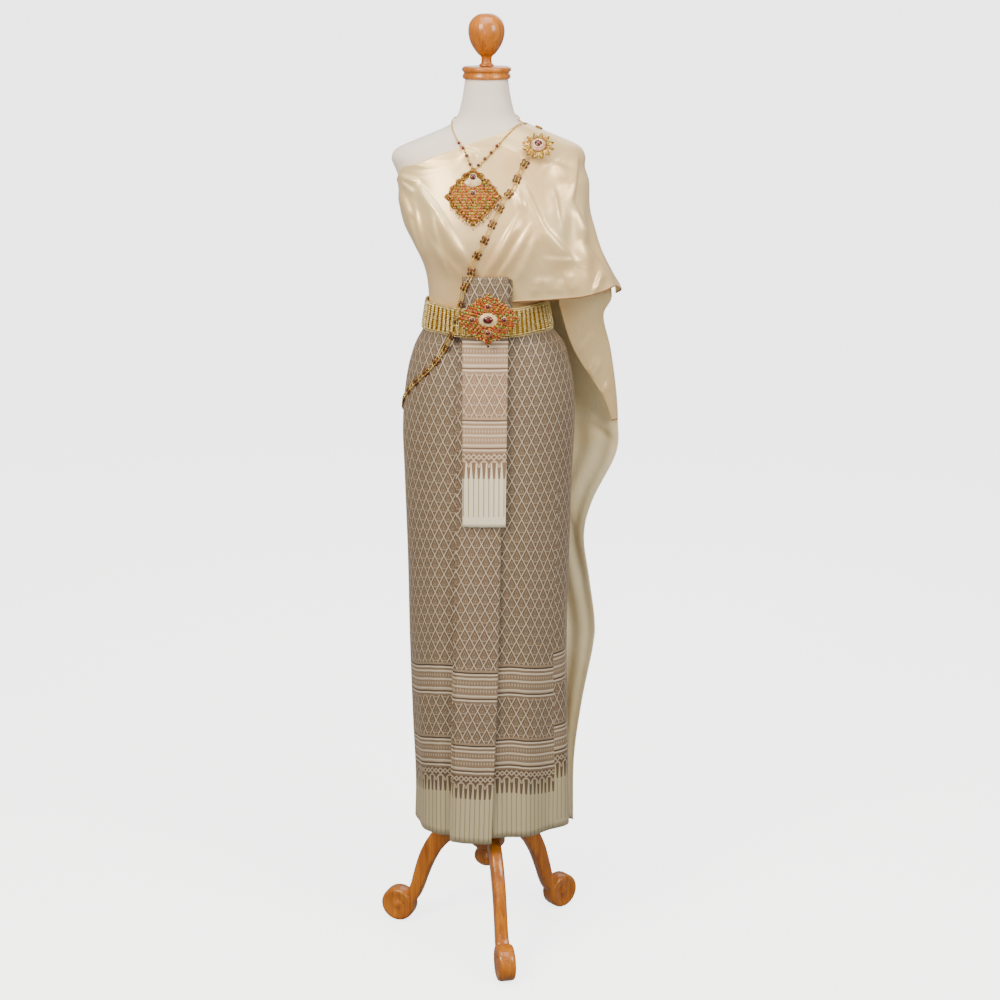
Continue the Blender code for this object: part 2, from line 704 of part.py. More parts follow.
def build_flap():
    """The folded-over upper end of the pleats."""
    outline = mitred_outline(flap_line(), FLAP_THICK / 2)
    loops = []
    for share in np.linspace(0.0, 1.0, FLAP_COLUMNS):
        loop = []
        for z, depth in outline:
            left = np.interp(z, [FLAP_HEM_Z, FLAP_TOP_Z], FLAP_LEFT)
            right = np.interp(z, [FLAP_HEM_Z, FLAP_TOP_Z], FLAP_RIGHT)
            x = left + share * (right - left)
            level = min(z, SKIRT[-1].z)
            curve = skirt_front(x, level) - skirt_front(0.0, level)
            loop.append((x, curve - depth, z))
        loops.append(loop)
    return loft("skirt_top_flap", np.array(loops), "brocade")


def build_belt():
    """The belt as one band whose outer face rises in bead columns."""
    count = BELT_COLUMNS * 2
    angles = column_angles(count) + math.pi / 2
    loops = []
    for share in np.linspace(0.0, 1.0, BELT_ROWS):
        z = BELT[0].z + share * (BELT[-1].z - BELT[0].z)
        ring = outline_points(BELT, np.full(count, z), angles, FULLNESS)
        out = ring[:, :2] / np.linalg.norm(ring[:, :2], axis=1)[:, None]
        push = smooth_step(np.abs(ring[:, 0]), BELT_FRONT_END, BELT_FRONT_FLAT) * (ring[:, 1] < 0)
        ring[:, 1] -= BELT_FRONT_OUT * push
        crown = math.sin(math.pi * (0.12 + 0.76 * share)) * BELT_BEAD
        bead = np.where(np.arange(count) % 2 == 0, crown, 0.0)
        inner, outer = ring.copy(), ring.copy()
        outer[:, :2] += out * (BELT_THICK + bead)[:, None]
        loops.append((inner, outer))
    faces, points = [], []
    for inner, outer in loops:
        points += [inner, outer]
    for row in range(BELT_ROWS - 1):
        low, high = 2 * row * count, 2 * (row + 1) * count
        faces += bridge(low, high, count, True)
        faces += bridge(high + count, low + count, count, True)
    last = 2 * (BELT_ROWS - 1) * count
    faces += bridge(0, count, count, True)
    faces += bridge(last + count, last, count, True)
    return make_solid("belt_band", np.concatenate(points), faces, "gold")


def surface_of(solids):
    """A search tree over the outer faces of these solids."""
    points, faces = [], []
    for solid in solids:
        start = len(points)
        points += [vertex.co.copy() for vertex in solid.data.vertices]
        faces += [[start + index for index in face.vertices] for face in solid.data.polygons]
    return BVHTree.FromPolygons(points, faces)


def stepped_rhombus(angle):
    """Reach of a rhombus with jagged sides, as a share of its full reach."""
    base = 1.0 / (abs(math.cos(angle)) ** 1.25 + abs(math.sin(angle)) ** 1.25) ** (1 / 1.25)
    return base * (1.0 + 0.045 * math.cos(16 * angle))


def rayed_circle(angle):
    """Reach of a circle with twelve pointed rays, as a share of its full reach."""
    return 0.90 + 0.10 * math.cos(12 * angle)


def build_medallion(jewel, rings, edge, cloth):
    """A flat-backed jewel with raised rings, brought up to the cloth behind it."""
    lean = math.radians(jewel.tilt)
    centre, reach, sides = jewel.centre, jewel.reach, jewel.sides
    loops = []
    for ring in rings[:0:-1]:
        loop = []
        for k in range(sides):
            angle = 2 * math.pi * k / sides
            grow = ring.share * (1 + (edge(angle) - 1) * ring.share)
            across, up = grow * math.cos(angle), grow * math.sin(angle)
            loop.append((reach[0] * across, reach[1] * up, ring.height))
        loops.append(loop)
    back = [(u, v, 0.0) for u, v, height in loops[0]]
    flat = np.array([back] + loops)
    flat[1:, :, 2] += jewel.thick
    crown = np.array([(0.0, 0.0, rings[0].height + jewel.thick)])
    points = np.concatenate([flat.reshape(-1, 3), crown])
    x = centre[0] + points[:, 0]
    z = centre[1] + points[:, 1] * math.cos(lean) + points[:, 2] * math.sin(lean)
    y = points[:, 1] * math.sin(lean) - points[:, 2] * math.cos(lean)
    push = -math.inf
    for px, py, pz in zip(x[:sides], y[:sides], z[:sides]):
        for share in (0.0, 0.25, 0.5, 0.75, 1.0):
            at_x = centre[0] + share * (px - centre[0])
            at_z = centre[1] + share * (pz - centre[1])
            hit = cloth.ray_cast(Vector((at_x, -1.0, at_z)), Vector((0.0, 1.0, 0.0)))[0]
            if hit is not None and hit.y < 0.02:
                push = max(push, share * py - hit.y + 2 * CLEAR)
    placed = np.column_stack([x, y - push, z])
    count = sides
    faces = [tuple(range(count))[::-1]]
    for level in range(len(flat) - 1):
        faces += bridge(level * count, (level + 1) * count, count, True)
    last, tip = (len(flat) - 1) * count, len(points) - 1
    faces += [(last + k, last + (k + 1) % count, tip) for k in range(count)]
    return make_solid(jewel.name, placed, faces, "garnet_and_gold")


def spaced(points, step):
    """Points this far apart along a smooth curve through the given ones."""
    points = np.array(points)
    knots = np.arange(len(points))
    fine = np.linspace(0, len(points) - 1, 40 * len(points))
    curve = np.column_stack([np.interp(fine, knots, points[:, k]) for k in range(3)])
    for _ in range(60):
        curve[1:-1] = (curve[:-2] + 2 * curve[1:-1] + curve[2:]) / 4
    run = np.concatenate([[0.0], np.cumsum(np.linalg.norm(np.diff(curve, axis=0), axis=1))])
    stops = np.linspace(0.0, run[-1], max(2, int(round(run[-1] / step))) + 1)
    return np.column_stack([np.interp(stops, run, curve[:, k]) for k in range(3)]), stops


def lay_on(points, cloth, clear, rounds):
    """Points drawn in to the cloth and kept this far off it, with the outward direction at each."""
    points = np.array(points)
    outward = np.zeros_like(points)
    for turn in range(rounds):
        for index, point in enumerate(points):
            near, normal, _, gap = cloth.find_nearest(Vector(point))
            away = Vector(point) - near
            out = away.normalized() if gap > 1e-5 and away.dot(normal) > 0 else normal
            outward[index] = out
            if turn == 0 or away.dot(normal) <= 0 or gap < clear:
                points[index] = near + out * clear
        if turn < rounds - 1:
            points[1:-1] = (points[:-2] + 2 * points[1:-1] + points[2:]) / 4
    outward[1:-1] = outward[:-2] + 2 * outward[1:-1] + outward[2:]
    return points, outward / np.linalg.norm(outward, axis=1)[:, None]


def flower_stops(length, pitch):
    """Distances along the chain with the half width at each: flowers with narrow links between."""
    count = int(length // pitch)
    first = (length - (count - 1) * pitch) / 2
    stops = [(0.0, PETALS[0].half_width)]
    for flower in range(count):
        for petal in PETALS:
            stops.append((first + flower * pitch + petal.along, petal.half_width))
    stops.append((length, PETALS[-1].half_width))
    return stops


def build_sash(name, guide, rounds, cloth):
    """A flat chain of four-petalled flowers laid over the cloth."""
    path, _ = spaced(guide, 0.004)
    path, out = lay_on(path, cloth, SASH_CLEAR + SASH_THICK / 2, rounds)
    run = np.concatenate([[0.0], np.cumsum(np.linalg.norm(np.diff(path, axis=0), axis=1))])
    ahead = np.gradient(path, axis=0)
    loops = []
    for stop, half in flower_stops(run[-1], SASH_PITCH):
        here, up, along = (
            np.array([np.interp(stop, run, values[:, k]) for k in range(3)])
            for values in (path, out, ahead)
        )
        side = np.cross(up, along)
        side /= np.linalg.norm(side)
        up = np.cross(along, side)
        up /= np.linalg.norm(up)
        rise, reach = up * SASH_THICK / 2, side * half
        loops.append([here + reach - rise, here - reach - rise, here - reach + rise, here + reach + rise])
    return loft(name, np.array(loops), "garnet_and_gold")


def build_necklace(cloth):
    """A fine chain round the neck as one closed tube."""
    guide = NECKLACE + NECKLACE[:1]
    path, _ = spaced(guide, 0.004)
    path, _ = lay_on(path, cloth, NECKLACE_RADIUS + 2 * CLEAR, 7)
    picks = np.linspace(0, len(path) - 1, NECKLACE_STEPS + 1)[:-1]
    knots = np.arange(len(path))
    path = np.column_stack([np.interp(picks, knots, path[:, k]) for k in range(3)])
    ahead = np.roll(path, -1, 0) - np.roll(path, 1, 0)
    points, faces = [], []
    for here, along in zip(path, ahead):
        side = np.cross(along, (0.0, 0.0, 1.0))
        side /= np.linalg.norm(side)
        up = np.cross(side, along)
        up /= np.linalg.norm(up)
        for k in range(NECKLACE_SIDES):
            turn = 2 * math.pi * k / NECKLACE_SIDES
            points.append(here + NECKLACE_RADIUS * (side * math.cos(turn) + up * math.sin(turn)))
    for step in range(NECKLACE_STEPS):
        following = (step + 1) % NECKLACE_STEPS
        faces += bridge(step * NECKLACE_SIDES, following * NECKLACE_SIDES, NECKLACE_SIDES, True)
    return make_solid("necklace_chain", points, faces, "gold")


def turned(name, profile, material):
    """A turned solid on the pole's axis."""
    angles = column_angles(TURNED_SIDES)
    circle = np.column_stack([np.cos(angles), np.sin(angles)])
    loops = []
    for row in profile:
        loops.append(np.column_stack([row.radius * circle, np.full(TURNED_SIDES, row.z)]))
    return loft(name, loops, material)


def build_leg(name, angle):
    """One curved leg that ends in an upright round foot."""
    line = np.array([(row.reach, row.z) for row in LEG])
    slope = np.gradient(line, axis=0)
    slope /= np.linalg.norm(slope, axis=1)[:, None]
    foot = [index for index, row in enumerate(LEG) if row.z <= FOOT_Z]
    slope[foot + [0]] = (1.0, 0.0)
    slope[foot[0] - 1] = NECK_OF_FOOT
    turn = math.radians(angle)
    loops = []
    for row, (ahead, rise) in zip(LEG, slope):
        depth, width = row.depth / 2, row.width / 2
        bevel = LEG_EDGE * min(depth, width)
        ring = [
            (width, depth - bevel),
            (width - bevel, depth),
            (bevel - width, depth),
            (-width, depth - bevel),
            (-width, bevel - depth),
            (bevel - width, -depth),
            (width - bevel, -depth),
            (width, bevel - depth),
        ]
        loop = []
        for across, up in ring:
            reach = row.reach - rise * up
            z = row.z + ahead * up
            x = reach * math.cos(turn) - across * math.sin(turn)
            y = reach * math.sin(turn) + across * math.cos(turn)
            loop.append((x, y, z))
        loops.append(loop)
    return loft(name, np.array(loops), "wood")


def move_to_origin():
    """Bring the middle of the whole box over the origin, with the feet on the ground."""
    solids = list(bpy.data.collections[COLLECTION].objects)
    corners = np.array([vertex.co for solid in solids for vertex in solid.data.vertices])
    low, high = corners.min(axis=0), corners.max(axis=0)
    shift = Vector((-(low[0] + high[0]) / 2, -(low[1] + high[1]) / 2, -low[2]))
    for solid in solids:
        for vertex in solid.data.vertices:
            vertex.co += shift


def main():
    """Build every sub-part in place."""
    clear_scene()
    bpy.context.scene.collection.children.link(bpy.data.collections.new(COLLECTION))
    for name, colour in COLOURS.items():
        make_material(name, colour)
    form = build_form()
    turned("neck_cap", CAP, "wood")
    turned("neck_finial", FINIAL, "wood")
    turned("stand_pole", [Turn(POLE_RADIUS, POLE_Z[1]), Turn(POLE_RADIUS, POLE_Z[0])], "wood")
    turned("stand_hub", HUB, "wood")
    for name, angle in LEG_ANGLES.items():
        build_leg(name, angle)
    satin = [build_wrap(), build_drape(), build_fall(), build_turnback()]
    brocade = [build_skirt(), build_pleats(), build_flap()]
    belt = build_belt()
    dressed = surface_of([form, belt] + satin + brocade)
    build_medallion(BUCKLE, BUCKLE_RINGS, stepped_rhombus, dressed)
    build_necklace(surface_of([form] + satin))
    build_medallion(PENDANT, PENDANT_RINGS, stepped_rhombus, surface_of(satin))
    build_medallion(BROOCH, BROOCH_RINGS, rayed_circle, surface_of(satin))
    build_sash("sash_chain_front", SASH_FRONT, 9, dressed)
    build_sash("sash_chain_back", SASH_BACK, 60, dressed)
    move_to_origin()


main()
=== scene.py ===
"""Looks of the chut thai dress: satin shawl, brocade skirt and gold jewellery on a limbless form and tripod.

Metres, +Z up. The front faces -Y and the wearer's left side is +X. Tables give sizes about the pole's axis.
"""

import logging
import math
from dataclasses import dataclass, field
from enum import Enum
from functools import lru_cache
from typing import Callable, Sequence

import bmesh
import bpy
import numpy as np
from mathutils import Matrix, Vector
from mathutils.bvhtree import BVHTree


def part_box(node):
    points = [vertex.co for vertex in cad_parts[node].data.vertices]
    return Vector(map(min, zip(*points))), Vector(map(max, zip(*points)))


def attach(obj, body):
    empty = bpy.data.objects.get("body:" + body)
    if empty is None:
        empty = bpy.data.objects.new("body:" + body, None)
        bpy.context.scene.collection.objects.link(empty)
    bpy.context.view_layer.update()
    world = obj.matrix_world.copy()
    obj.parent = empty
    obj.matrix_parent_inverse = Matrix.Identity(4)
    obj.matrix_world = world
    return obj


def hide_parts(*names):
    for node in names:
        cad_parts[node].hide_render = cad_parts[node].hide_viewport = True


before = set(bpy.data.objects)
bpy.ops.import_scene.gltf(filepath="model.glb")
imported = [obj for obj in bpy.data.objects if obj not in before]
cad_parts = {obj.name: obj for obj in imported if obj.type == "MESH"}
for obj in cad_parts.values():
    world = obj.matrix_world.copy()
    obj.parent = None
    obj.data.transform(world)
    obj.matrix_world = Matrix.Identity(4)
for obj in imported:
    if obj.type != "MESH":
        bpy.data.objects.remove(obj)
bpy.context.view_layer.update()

LOG = logging.getLogger("chut_thai")
Tree = bpy.types.NodeTree
Socket = bpy.types.NodeSocket
Array = np.ndarray
Point = tuple[float, float, float]
Edge = Callable[[float], tuple[float, float]]

POLE = (Vector(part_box("stand_pole")[0]) + Vector(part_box("stand_pole")[1])) / 2
AXIS = np.array([POLE.x, POLE.y, 0.0])

# Cloth walls and the air between layers
SATIN = 0.0012
BROCADE = 0.0014
CLEAR = 0.0005


class Slot(Enum):
    """The record's material slots."""

    JERSEY = "jersey"
    WOOD = "wood"
    SATIN = "satin"
    BROCADE = "brocade"
    GOLD = "gold"
    GEMS = "gems"


# ---------------------------------------------------------------- finishes


def linear(code: str) -> tuple[float, float, float, float]:
    """Turn an sRGB hex value into linear colour.

    Args:
        code: six hex digits.

    Returns:
        Linear red, green, blue and an alpha of 1.
    """
    parts = [int(code[k : k + 2], 16) / 255 for k in (0, 2, 4)]
    red, green, blue = (c / 12.92 if c <= 0.04045 else ((c + 0.055) / 1.055) ** 2.4 for c in parts)
    return red, green, blue, 1.0


def add(
    tree: Tree,
    kind: str,
    feeds: dict | None = None,
    out: int | str = 0,
    stops: Sequence[tuple[float, object]] = (),
    **settings: object,
) -> Socket:
    """Add a node with its settings and links.

    Args:
        tree: the material's node tree.
        kind: the node's type, without its ShaderNode prefix.
        feeds: a value or another node's socket for each input. A tuple that starts with the name of a sum
            is worked out first, from the values and sockets after the name.
        out: the output wanted.
        stops: a colour scale's places, each with a grey level or a hex colour.
        **settings: properties of the node.

    Returns:
        That output.
    """
    node = tree.nodes.new("ShaderNode" + kind)
    for name, value in settings.items():
        setattr(node, name, value)
    for name, value in (feeds or {}).items():
        if isinstance(value, tuple) and isinstance(value[0], str):
            value = add(tree, "Math", dict(enumerate(value[1:])), operation=value[0])
        if isinstance(value, bpy.types.NodeSocket):
            tree.links.new(value, node.inputs[name])
        else:
            node.inputs[name].default_value = value
    for index, (place, level) in enumerate(stops):
        scale = node.color_ramp.elements
        stop = scale[index] if index < 2 else scale.new(place)
        stop.position = place
        stop.color = linear(level) if isinstance(level, str) else (level, level, level, 1.0)
    return node.outputs[out]


@dataclass(frozen=True)
class Finish:
    """What every finish has: a name, and the values set on the shader's own sockets."""

    name: str

    def sockets(self) -> dict[str, object]:
        """Uniform shader values."""
        return {}

    def pattern(self, tree: Tree, shader: bpy.types.ShaderNode) -> None:
        """Link the finish's own pattern to the shader."""

    def build(self) -> bpy.types.Material:
        """Make the material once, and return it each time.

        Returns:
            The material.
        """
        found = bpy.data.materials.get(self.name)
        if found:
            return found
        material = bpy.data.materials.new(self.name)
        material.use_nodes = True
        shader = material.node_tree.nodes["Principled BSDF"]
        for name, value in self.sockets().items():
            shader.inputs[name].default_value = value
        self.pattern(material.node_tree, shader)
        return material


@dataclass(frozen=True)
class Satin(Finish):
    """Polyester charmeuse: long floats on the face give a broad bright sheen, the reverse is a dull crepe."""

    face: str
    # shade is painted shade: the warm colour that the drift mixes in to stand for the shading of folds
    shade: str
    rough: float
    sheen: float
    shine: float
    lustre: float
    stitch: str = "CF9A63"
    hem: float = 0.0035
    thread: float = 0.0016  # the real thread is 0.15 mm, drawn as coarse as it needs to show

    def sockets(self) -> dict[str, object]:
        """Uniform shader values.

        Returns:
            The shader's inputs by name.
        """
        return {
            "Specular IOR Level": self.shine,
            "Sheen Weight": self.sheen,
            "Sheen Roughness": 0.35,
            "Sheen Tint": linear("FFF3DC"),
            "Anisotropic": 0.35,
            "Metallic": self.lustre,
            "IOR": 1.5,
        }

    def pattern(self, tree: Tree, shader: bpy.types.ShaderNode) -> None:
        """Painted shade in soft drifting patches, fine slubs along the warp and small pressed creases.

        Args:
            tree: the material's node tree.
            shader: the node that the pattern feeds.
        """
        uv = add(tree, "TexCoord", out="UV")
        # The drift is painted shade: soft patches of the shade colour standing in for the light and shade of
        # the folds.
        painted_shade_drift = add(tree, "TexNoise", {"Vector": uv, "Scale": 6.0, "Detail": 3.0})
        warp = add(tree, "Mapping", {"Vector": uv, "Scale": (1 / self.thread, 40.0, 1.0)})
        slub = add(tree, "TexNoise", {"Vector": warp, "Scale": 1.0, "Detail": 2.0})
        mix = add(tree, "Math", {0: painted_shade_drift, 1: 0.75}, operation="MULTIPLY")
        mix = add(tree, "Math", {0: slub, 1: 0.25, 2: mix}, operation="MULTIPLY_ADD")
        colour = add(tree, "ValToRGB", {"Fac": mix}, stops=[(0.32, self.shade), (0.6, self.face)])
        rough = add(
            tree, "MapRange", {"Value": slub, "To Min": self.rough - 0.05, "To Max": self.rough + 0.07}
        )
        crease = add(tree, "TexNoise", {"Vector": uv, "Scale": 22.0, "Detail": 2.0, "Distortion": 0.6})
        rise = add(tree, "SeparateXYZ", {"Vector": uv}, out="Y")
        rolled = add(tree, "MapRange", {"Value": rise, "From Min": self.hem, "From Max": self.hem * 0.6})
        colour = add(tree, "Mix", {0: rolled, 6: colour, 7: linear(self.stitch)}, out=2, data_type="RGBA")
        height = add(tree, "Math", {0: rolled, 1: 0.4, 2: crease}, operation="MULTIPLY_ADD")
        soft = add(tree, "Bump", {"Height": height, "Strength": 0.25, "Distance": 0.005})
        fine = add(tree, "Bump", {"Height": slub, "Strength": 0.12, "Distance": 0.0002, "Normal": soft})
        for name, source in (("Base Color", colour), ("Roughness", rough), ("Normal", fine)):
            tree.links.new(source, shader.inputs[name])


@dataclass(frozen=True)
class Brocade(Finish):
    """Jacquard silk with a silver-ivory extra weft: dull taupe ground, bright raised pattern threads."""

    dark: str
    ground: str
    middle: str
    thread: str
    ivory: str
    pin: str
    cell: tuple[float, float] = (0.0182, 0.0362)
    tooth: float = 0.00925
    plain: float = 0.004
    end: float = 0.092
    net: float = 0.140
    band: float = 0.066
    field: float = 0.080

    def sockets(self) -> dict[str, object]:
        """Uniform shader values.

        Returns:
            The shader's inputs by name.
        """
        return {
            "Specular IOR Level": 0.45,
            "Sheen Weight": 0.25,
            "Sheen Roughness": 0.4,
            "Sheen Tint": linear("E9CDB6"),
        }

    def pattern(self, tree: Tree, shader: bpy.types.ShaderNode) -> None:
        """Weave levels from 0, the dark ground, to 1, the bright thread, turned into colour and relief.

        Args:
            tree: the material's node tree.
            shader: the node that the pattern feeds.
        """
        uv = add(tree, "TexCoord", out="UV")
        wobble = add(tree, "TexNoise", {"Vector": uv, "Scale": 60.0, "Detail": 1.0}, out="Color")
        moved = add(
            tree,
            "VectorMath",
            {0: wobble, 1: (0.0008, 0.0008, 0.0), 2: uv},
            operation="MULTIPLY_ADD",
        )
        split = add(tree, "SeparateXYZ", {"Vector": moved}).node
        u, v = split.outputs["X"], split.outputs["Y"]

        # Diamond lattice and the small stepped spire inside each diamond
        across = add(tree, "Math", {0: u, 1: self.cell[0]}, operation="DIVIDE")
        upward = add(tree, "Math", {0: v, 1: self.cell[1]}, operation="DIVIDE")
        first, second = (
            add(tree, "Math", {0: across, 1: upward}, operation="ADD"),
            add(tree, "Math", {0: across, 1: upward}, operation="SUBTRACT"),
        )
        edge = add(
            tree, "Math", {0: ("PINGPONG", first, 0.5), 1: ("PINGPONG", second, 0.5)}, operation="MINIMUM"
        )
        lattice = add(tree, "MapRange", {"Value": edge, "From Min": 0.054, "From Max": 0.016})
        one = add(tree, "Math", {0: ("FRACT", first), 1: 0.5}, operation="SUBTRACT")
        two = add(tree, "Math", {0: ("FRACT", second), 1: 0.5}, operation="SUBTRACT")
        side = add(tree, "Math", {0: ("ADD", one, two)}, operation="ABSOLUTE")
        rise = add(tree, "Math", {0: one, 1: two}, operation="SUBTRACT")
        spire = add(
            tree,
            "Math",
            {0: ("MULTIPLY_ADD", side, 1.5, ("SUBTRACT", rise, 0.5)), 1: ("SUBTRACT", -0.36, rise)},
            operation="MAXIMUM",
        )
        outline = add(tree, "MapRange", {"Value": ("ABSOLUTE", spire), "From Min": 0.085, "From Max": 0.03})
        heart = add(
            tree,
            "MapRange",
            {"Value": ("ADD", side, ("ABSOLUTE", ("ADD", rise, 0.1))), "From Min": 0.2, "From Max": 0.1},
        )
        diamonds = add(
            tree,
            "Math",
            {0: lattice, 1: ("MULTIPLY", ("MAXIMUM", outline, heart), 0.55)},
            operation="MAXIMUM",
        )
        diamonds = add(tree, "Math", {0: diamonds, 1: 0.74, 2: 0.21}, operation="MULTIPLY_ADD")

        # Cross bands of lines and dotted rows, repeated up the border
        period = self.band + self.field
        climb = add(tree, "Math", {0: v, 1: self.net}, operation="SUBTRACT")
        share = add(tree, "Math", {0: ("FLOORED_MODULO", climb, period), 1: self.band}, operation="DIVIDE")
        rows = add(
            tree,
            "ValToRGB",
            {"Fac": share},
            stops=[
                (0.0, 0.3), (0.05, 0.3), (0.06, 0.85), (0.1, 0.85), (0.11, 0.12), (0.15, 0.12),
                (0.16, 0.55), (0.24, 0.9), (0.25, 0.35), (0.29, 0.35), (0.46, 0.35), (0.47, 0.8),
                (0.52, 0.8), (0.53, 0.32), (0.7, 0.32), (0.71, 0.7), (0.76, 0.92), (0.77, 0.3),
                (0.83, 0.3), (0.84, 0.85), (0.88, 0.85), (0.89, 0.1), (0.93, 0.1), (0.94, 0.45),
            ],
        )
        dotted = add(
            tree,
            "ValToRGB",
            {"Fac": share},
            stops=[(0.0, 0.0), (0.29, 0.0), (0.37, 1.0), (0.46, 0.0), (0.53, 0.0), (0.62, 1.0), (0.7, 0.0)],
        )
        beads = add(
            tree, "Math", {0: ("PINGPONG", ("DIVIDE", u, 0.0055), 0.5), 1: 2.0}, operation="MULTIPLY"
        )
        dots = add(
            tree,
            "Math",
            {
                0: add(
                    tree,
                    "MapRange",
                    {"Value": ("MULTIPLY", beads, dotted), "From Min": 0.25, "From Max": 0.6},
                ),
                1: 0.34,
            },
            operation="MULTIPLY",
        )
        stripes = add(tree, "Math", {0: rows, 1: dots}, operation="ADD")
        inside = add(
            tree,
            "Math",
            {0: ("LESS_THAN", share, 1.0), 1: ("GREATER_THAN", v, self.net)},
            operation="MULTIPLY",
        )
        inside = add(
            tree,
            "Math",
            {0: inside, 1: ("LESS_THAN", v, self.net + period + self.band)},
            operation="MULTIPLY",
        )

        # Arches, zigzag and teeth above the ivory end
        arch = add(
            tree,
            "Math",
            {0: ("PINGPONG", ("DIVIDE", u, 2 * self.tooth), 0.5), 1: 2.0},
            operation="MULTIPLY",
        )
        lift = add(tree, "Math", {0: ("SUBTRACT", v, self.end), 1: self.net - self.end}, operation="DIVIDE")
        bow = add(
            tree, "Math", {0: ("MAXIMUM", ("SUBTRACT", lift, 0.42), 0.0), 1: 3.4}, operation="MULTIPLY"
        )
        curve = add(
            tree, "Math", {0: ("ADD", ("MULTIPLY", arch, arch), ("MULTIPLY", bow, bow))}, operation="SQRT"
        )
        arc = add(
            tree,
            "MapRange",
            {"Value": ("ABSOLUTE", ("SUBTRACT", curve, 0.9)), "From Min": 0.16, "From Max": 0.06},
        )
        arc = add(tree, "Math", {0: arc, 1: ("GREATER_THAN", lift, 0.44)}, operation="MULTIPLY")
        zig = add(
            tree, "Math", {0: ("SUBTRACT", ("MULTIPLY_ADD", arch, 0.2, 0.74), lift)}, operation="ABSOLUTE"
        )
        zag = add(
            tree,
            "Math",
            {0: ("SUBTRACT", ("MULTIPLY_ADD", arch, -0.2, 0.96), lift)},
            operation="ABSOLUTE",
        )
        zig = add(tree, "MapRange", {"Value": ("MINIMUM", zig, zag), "From Min": 0.045, "From Max": 0.015})
        border = add(
            tree,
            "Math",
            {0: ("MAXIMUM", ("MULTIPLY", arc, 0.9), zig), 1: 0.58, 2: 0.17},
            operation="MULTIPLY_ADD",
        )
        point = add(
            tree, "Math", {0: ("PINGPONG", ("DIVIDE", u, self.tooth), 0.5), 1: 2.0}, operation="MULTIPLY"
        )
        gap = add(
            tree,
            "MapRange",
            {
                "Value": ("SUBTRACT", point, ("MULTIPLY_ADD", lift, 0.72, 0.4)),
                "From Min": -0.06,
                "From Max": 0.06,
            },
        )
        gap = add(tree, "Math", {0: gap, 1: ("LESS_THAN", lift, 0.6)}, operation="MULTIPLY")
        toothed = add(tree, "Math", {0: v, 1: self.net}, operation="LESS_THAN")

        # Ivory end with fine pinstripes that run on from the teeth
        pins = add(tree, "MapRange", {"Value": point, "From Min": 0.3, "From Max": 0.14})
        pins = add(
            tree,
            "Math",
            {
                0: pins,
                1: add(
                    tree, "MapRange", {"Value": v, "From Min": self.plain, "From Max": self.plain + 0.002}
                ),
            },
            operation="MULTIPLY",
        )
        fine = add(
            tree,
            "MapRange",
            {"Value": ("PINGPONG", ("DIVIDE", u, self.tooth / 3), 0.5), "From Min": 0.16, "From Max": 0.06},
        )
        pins = add(tree, "Math", {0: pins, 1: ("MULTIPLY", fine, 0.28)}, operation="MAXIMUM")
        end = add(tree, "Math", {0: v, 1: self.end}, operation="LESS_THAN")

        level = add(tree, "Mix", {0: inside, 2: diamonds, 3: stripes})
        level = add(tree, "Mix", {0: toothed, 2: level, 3: border})
        woven = add(
            tree,
            "ValToRGB",
            {"Fac": level},
            stops=[(0.08, self.dark), (0.28, self.ground), (0.62, self.middle), (0.95, self.thread)],
        )
        pale = add(tree, "ValToRGB", {"Fac": pins}, stops=[(0.0, self.ivory), (1.0, self.pin)])
        is_pale = add(tree, "Math", {0: end, 1: ("MULTIPLY", gap, toothed)}, operation="MAXIMUM")
        mixed = add(tree, "Mix", {0: is_pale, 6: woven, 7: pale}, out=2, data_type="RGBA")

        # Threads: the real 0.3 mm pick is drawn at 0.9 mm so that it shows
        picks = add(tree, "Math", {0: ("DIVIDE", v, 0.0009), 1: 0.5}, operation="PINGPONG")
        # The shimmer is painted sheen: long streaks that lighten and darken the colour where the silver
        # threads would catch the light.
        painted_sheen_streaks = add(
            tree,
            "TexNoise",
            {
                "Vector": add(tree, "Mapping", {"Vector": uv, "Scale": (9.0, 1.6, 1.0)}),
                "Scale": 1.0,
                "Detail": 3.0,
            },
        )
        tone = add(
            tree,
            "MapRange",
            {"Value": ("MULTIPLY_ADD", picks, 0.35, painted_sheen_streaks), "To Min": 0.8, "To Max": 1.16},
        )
        colour = add(tree, "VectorMath", {0: mixed, "Scale": tone}, operation="SCALE")
        rough = add(tree, "MapRange", {"Value": level, "To Min": 0.66, "To Max": 0.40})
        metal = add(tree, "MapRange", {"Value": level, "From Min": 0.5, "From Max": 1.0, "To Max": 0.35})
        metal = add(tree, "Math", {0: metal, 1: ("SUBTRACT", 1.0, is_pale)}, operation="MULTIPLY")
        relief = add(tree, "Math", {0: picks, 1: 0.3, 2: level}, operation="MULTIPLY_ADD")
        bump = add(tree, "Bump", {"Height": relief, "Strength": 0.35, "Distance": 0.0004})
        ends = (("Base Color", colour), ("Roughness", rough), ("Metallic", metal), ("Normal", bump))
        for name, source in ends:
            tree.links.new(source, shader.inputs[name])


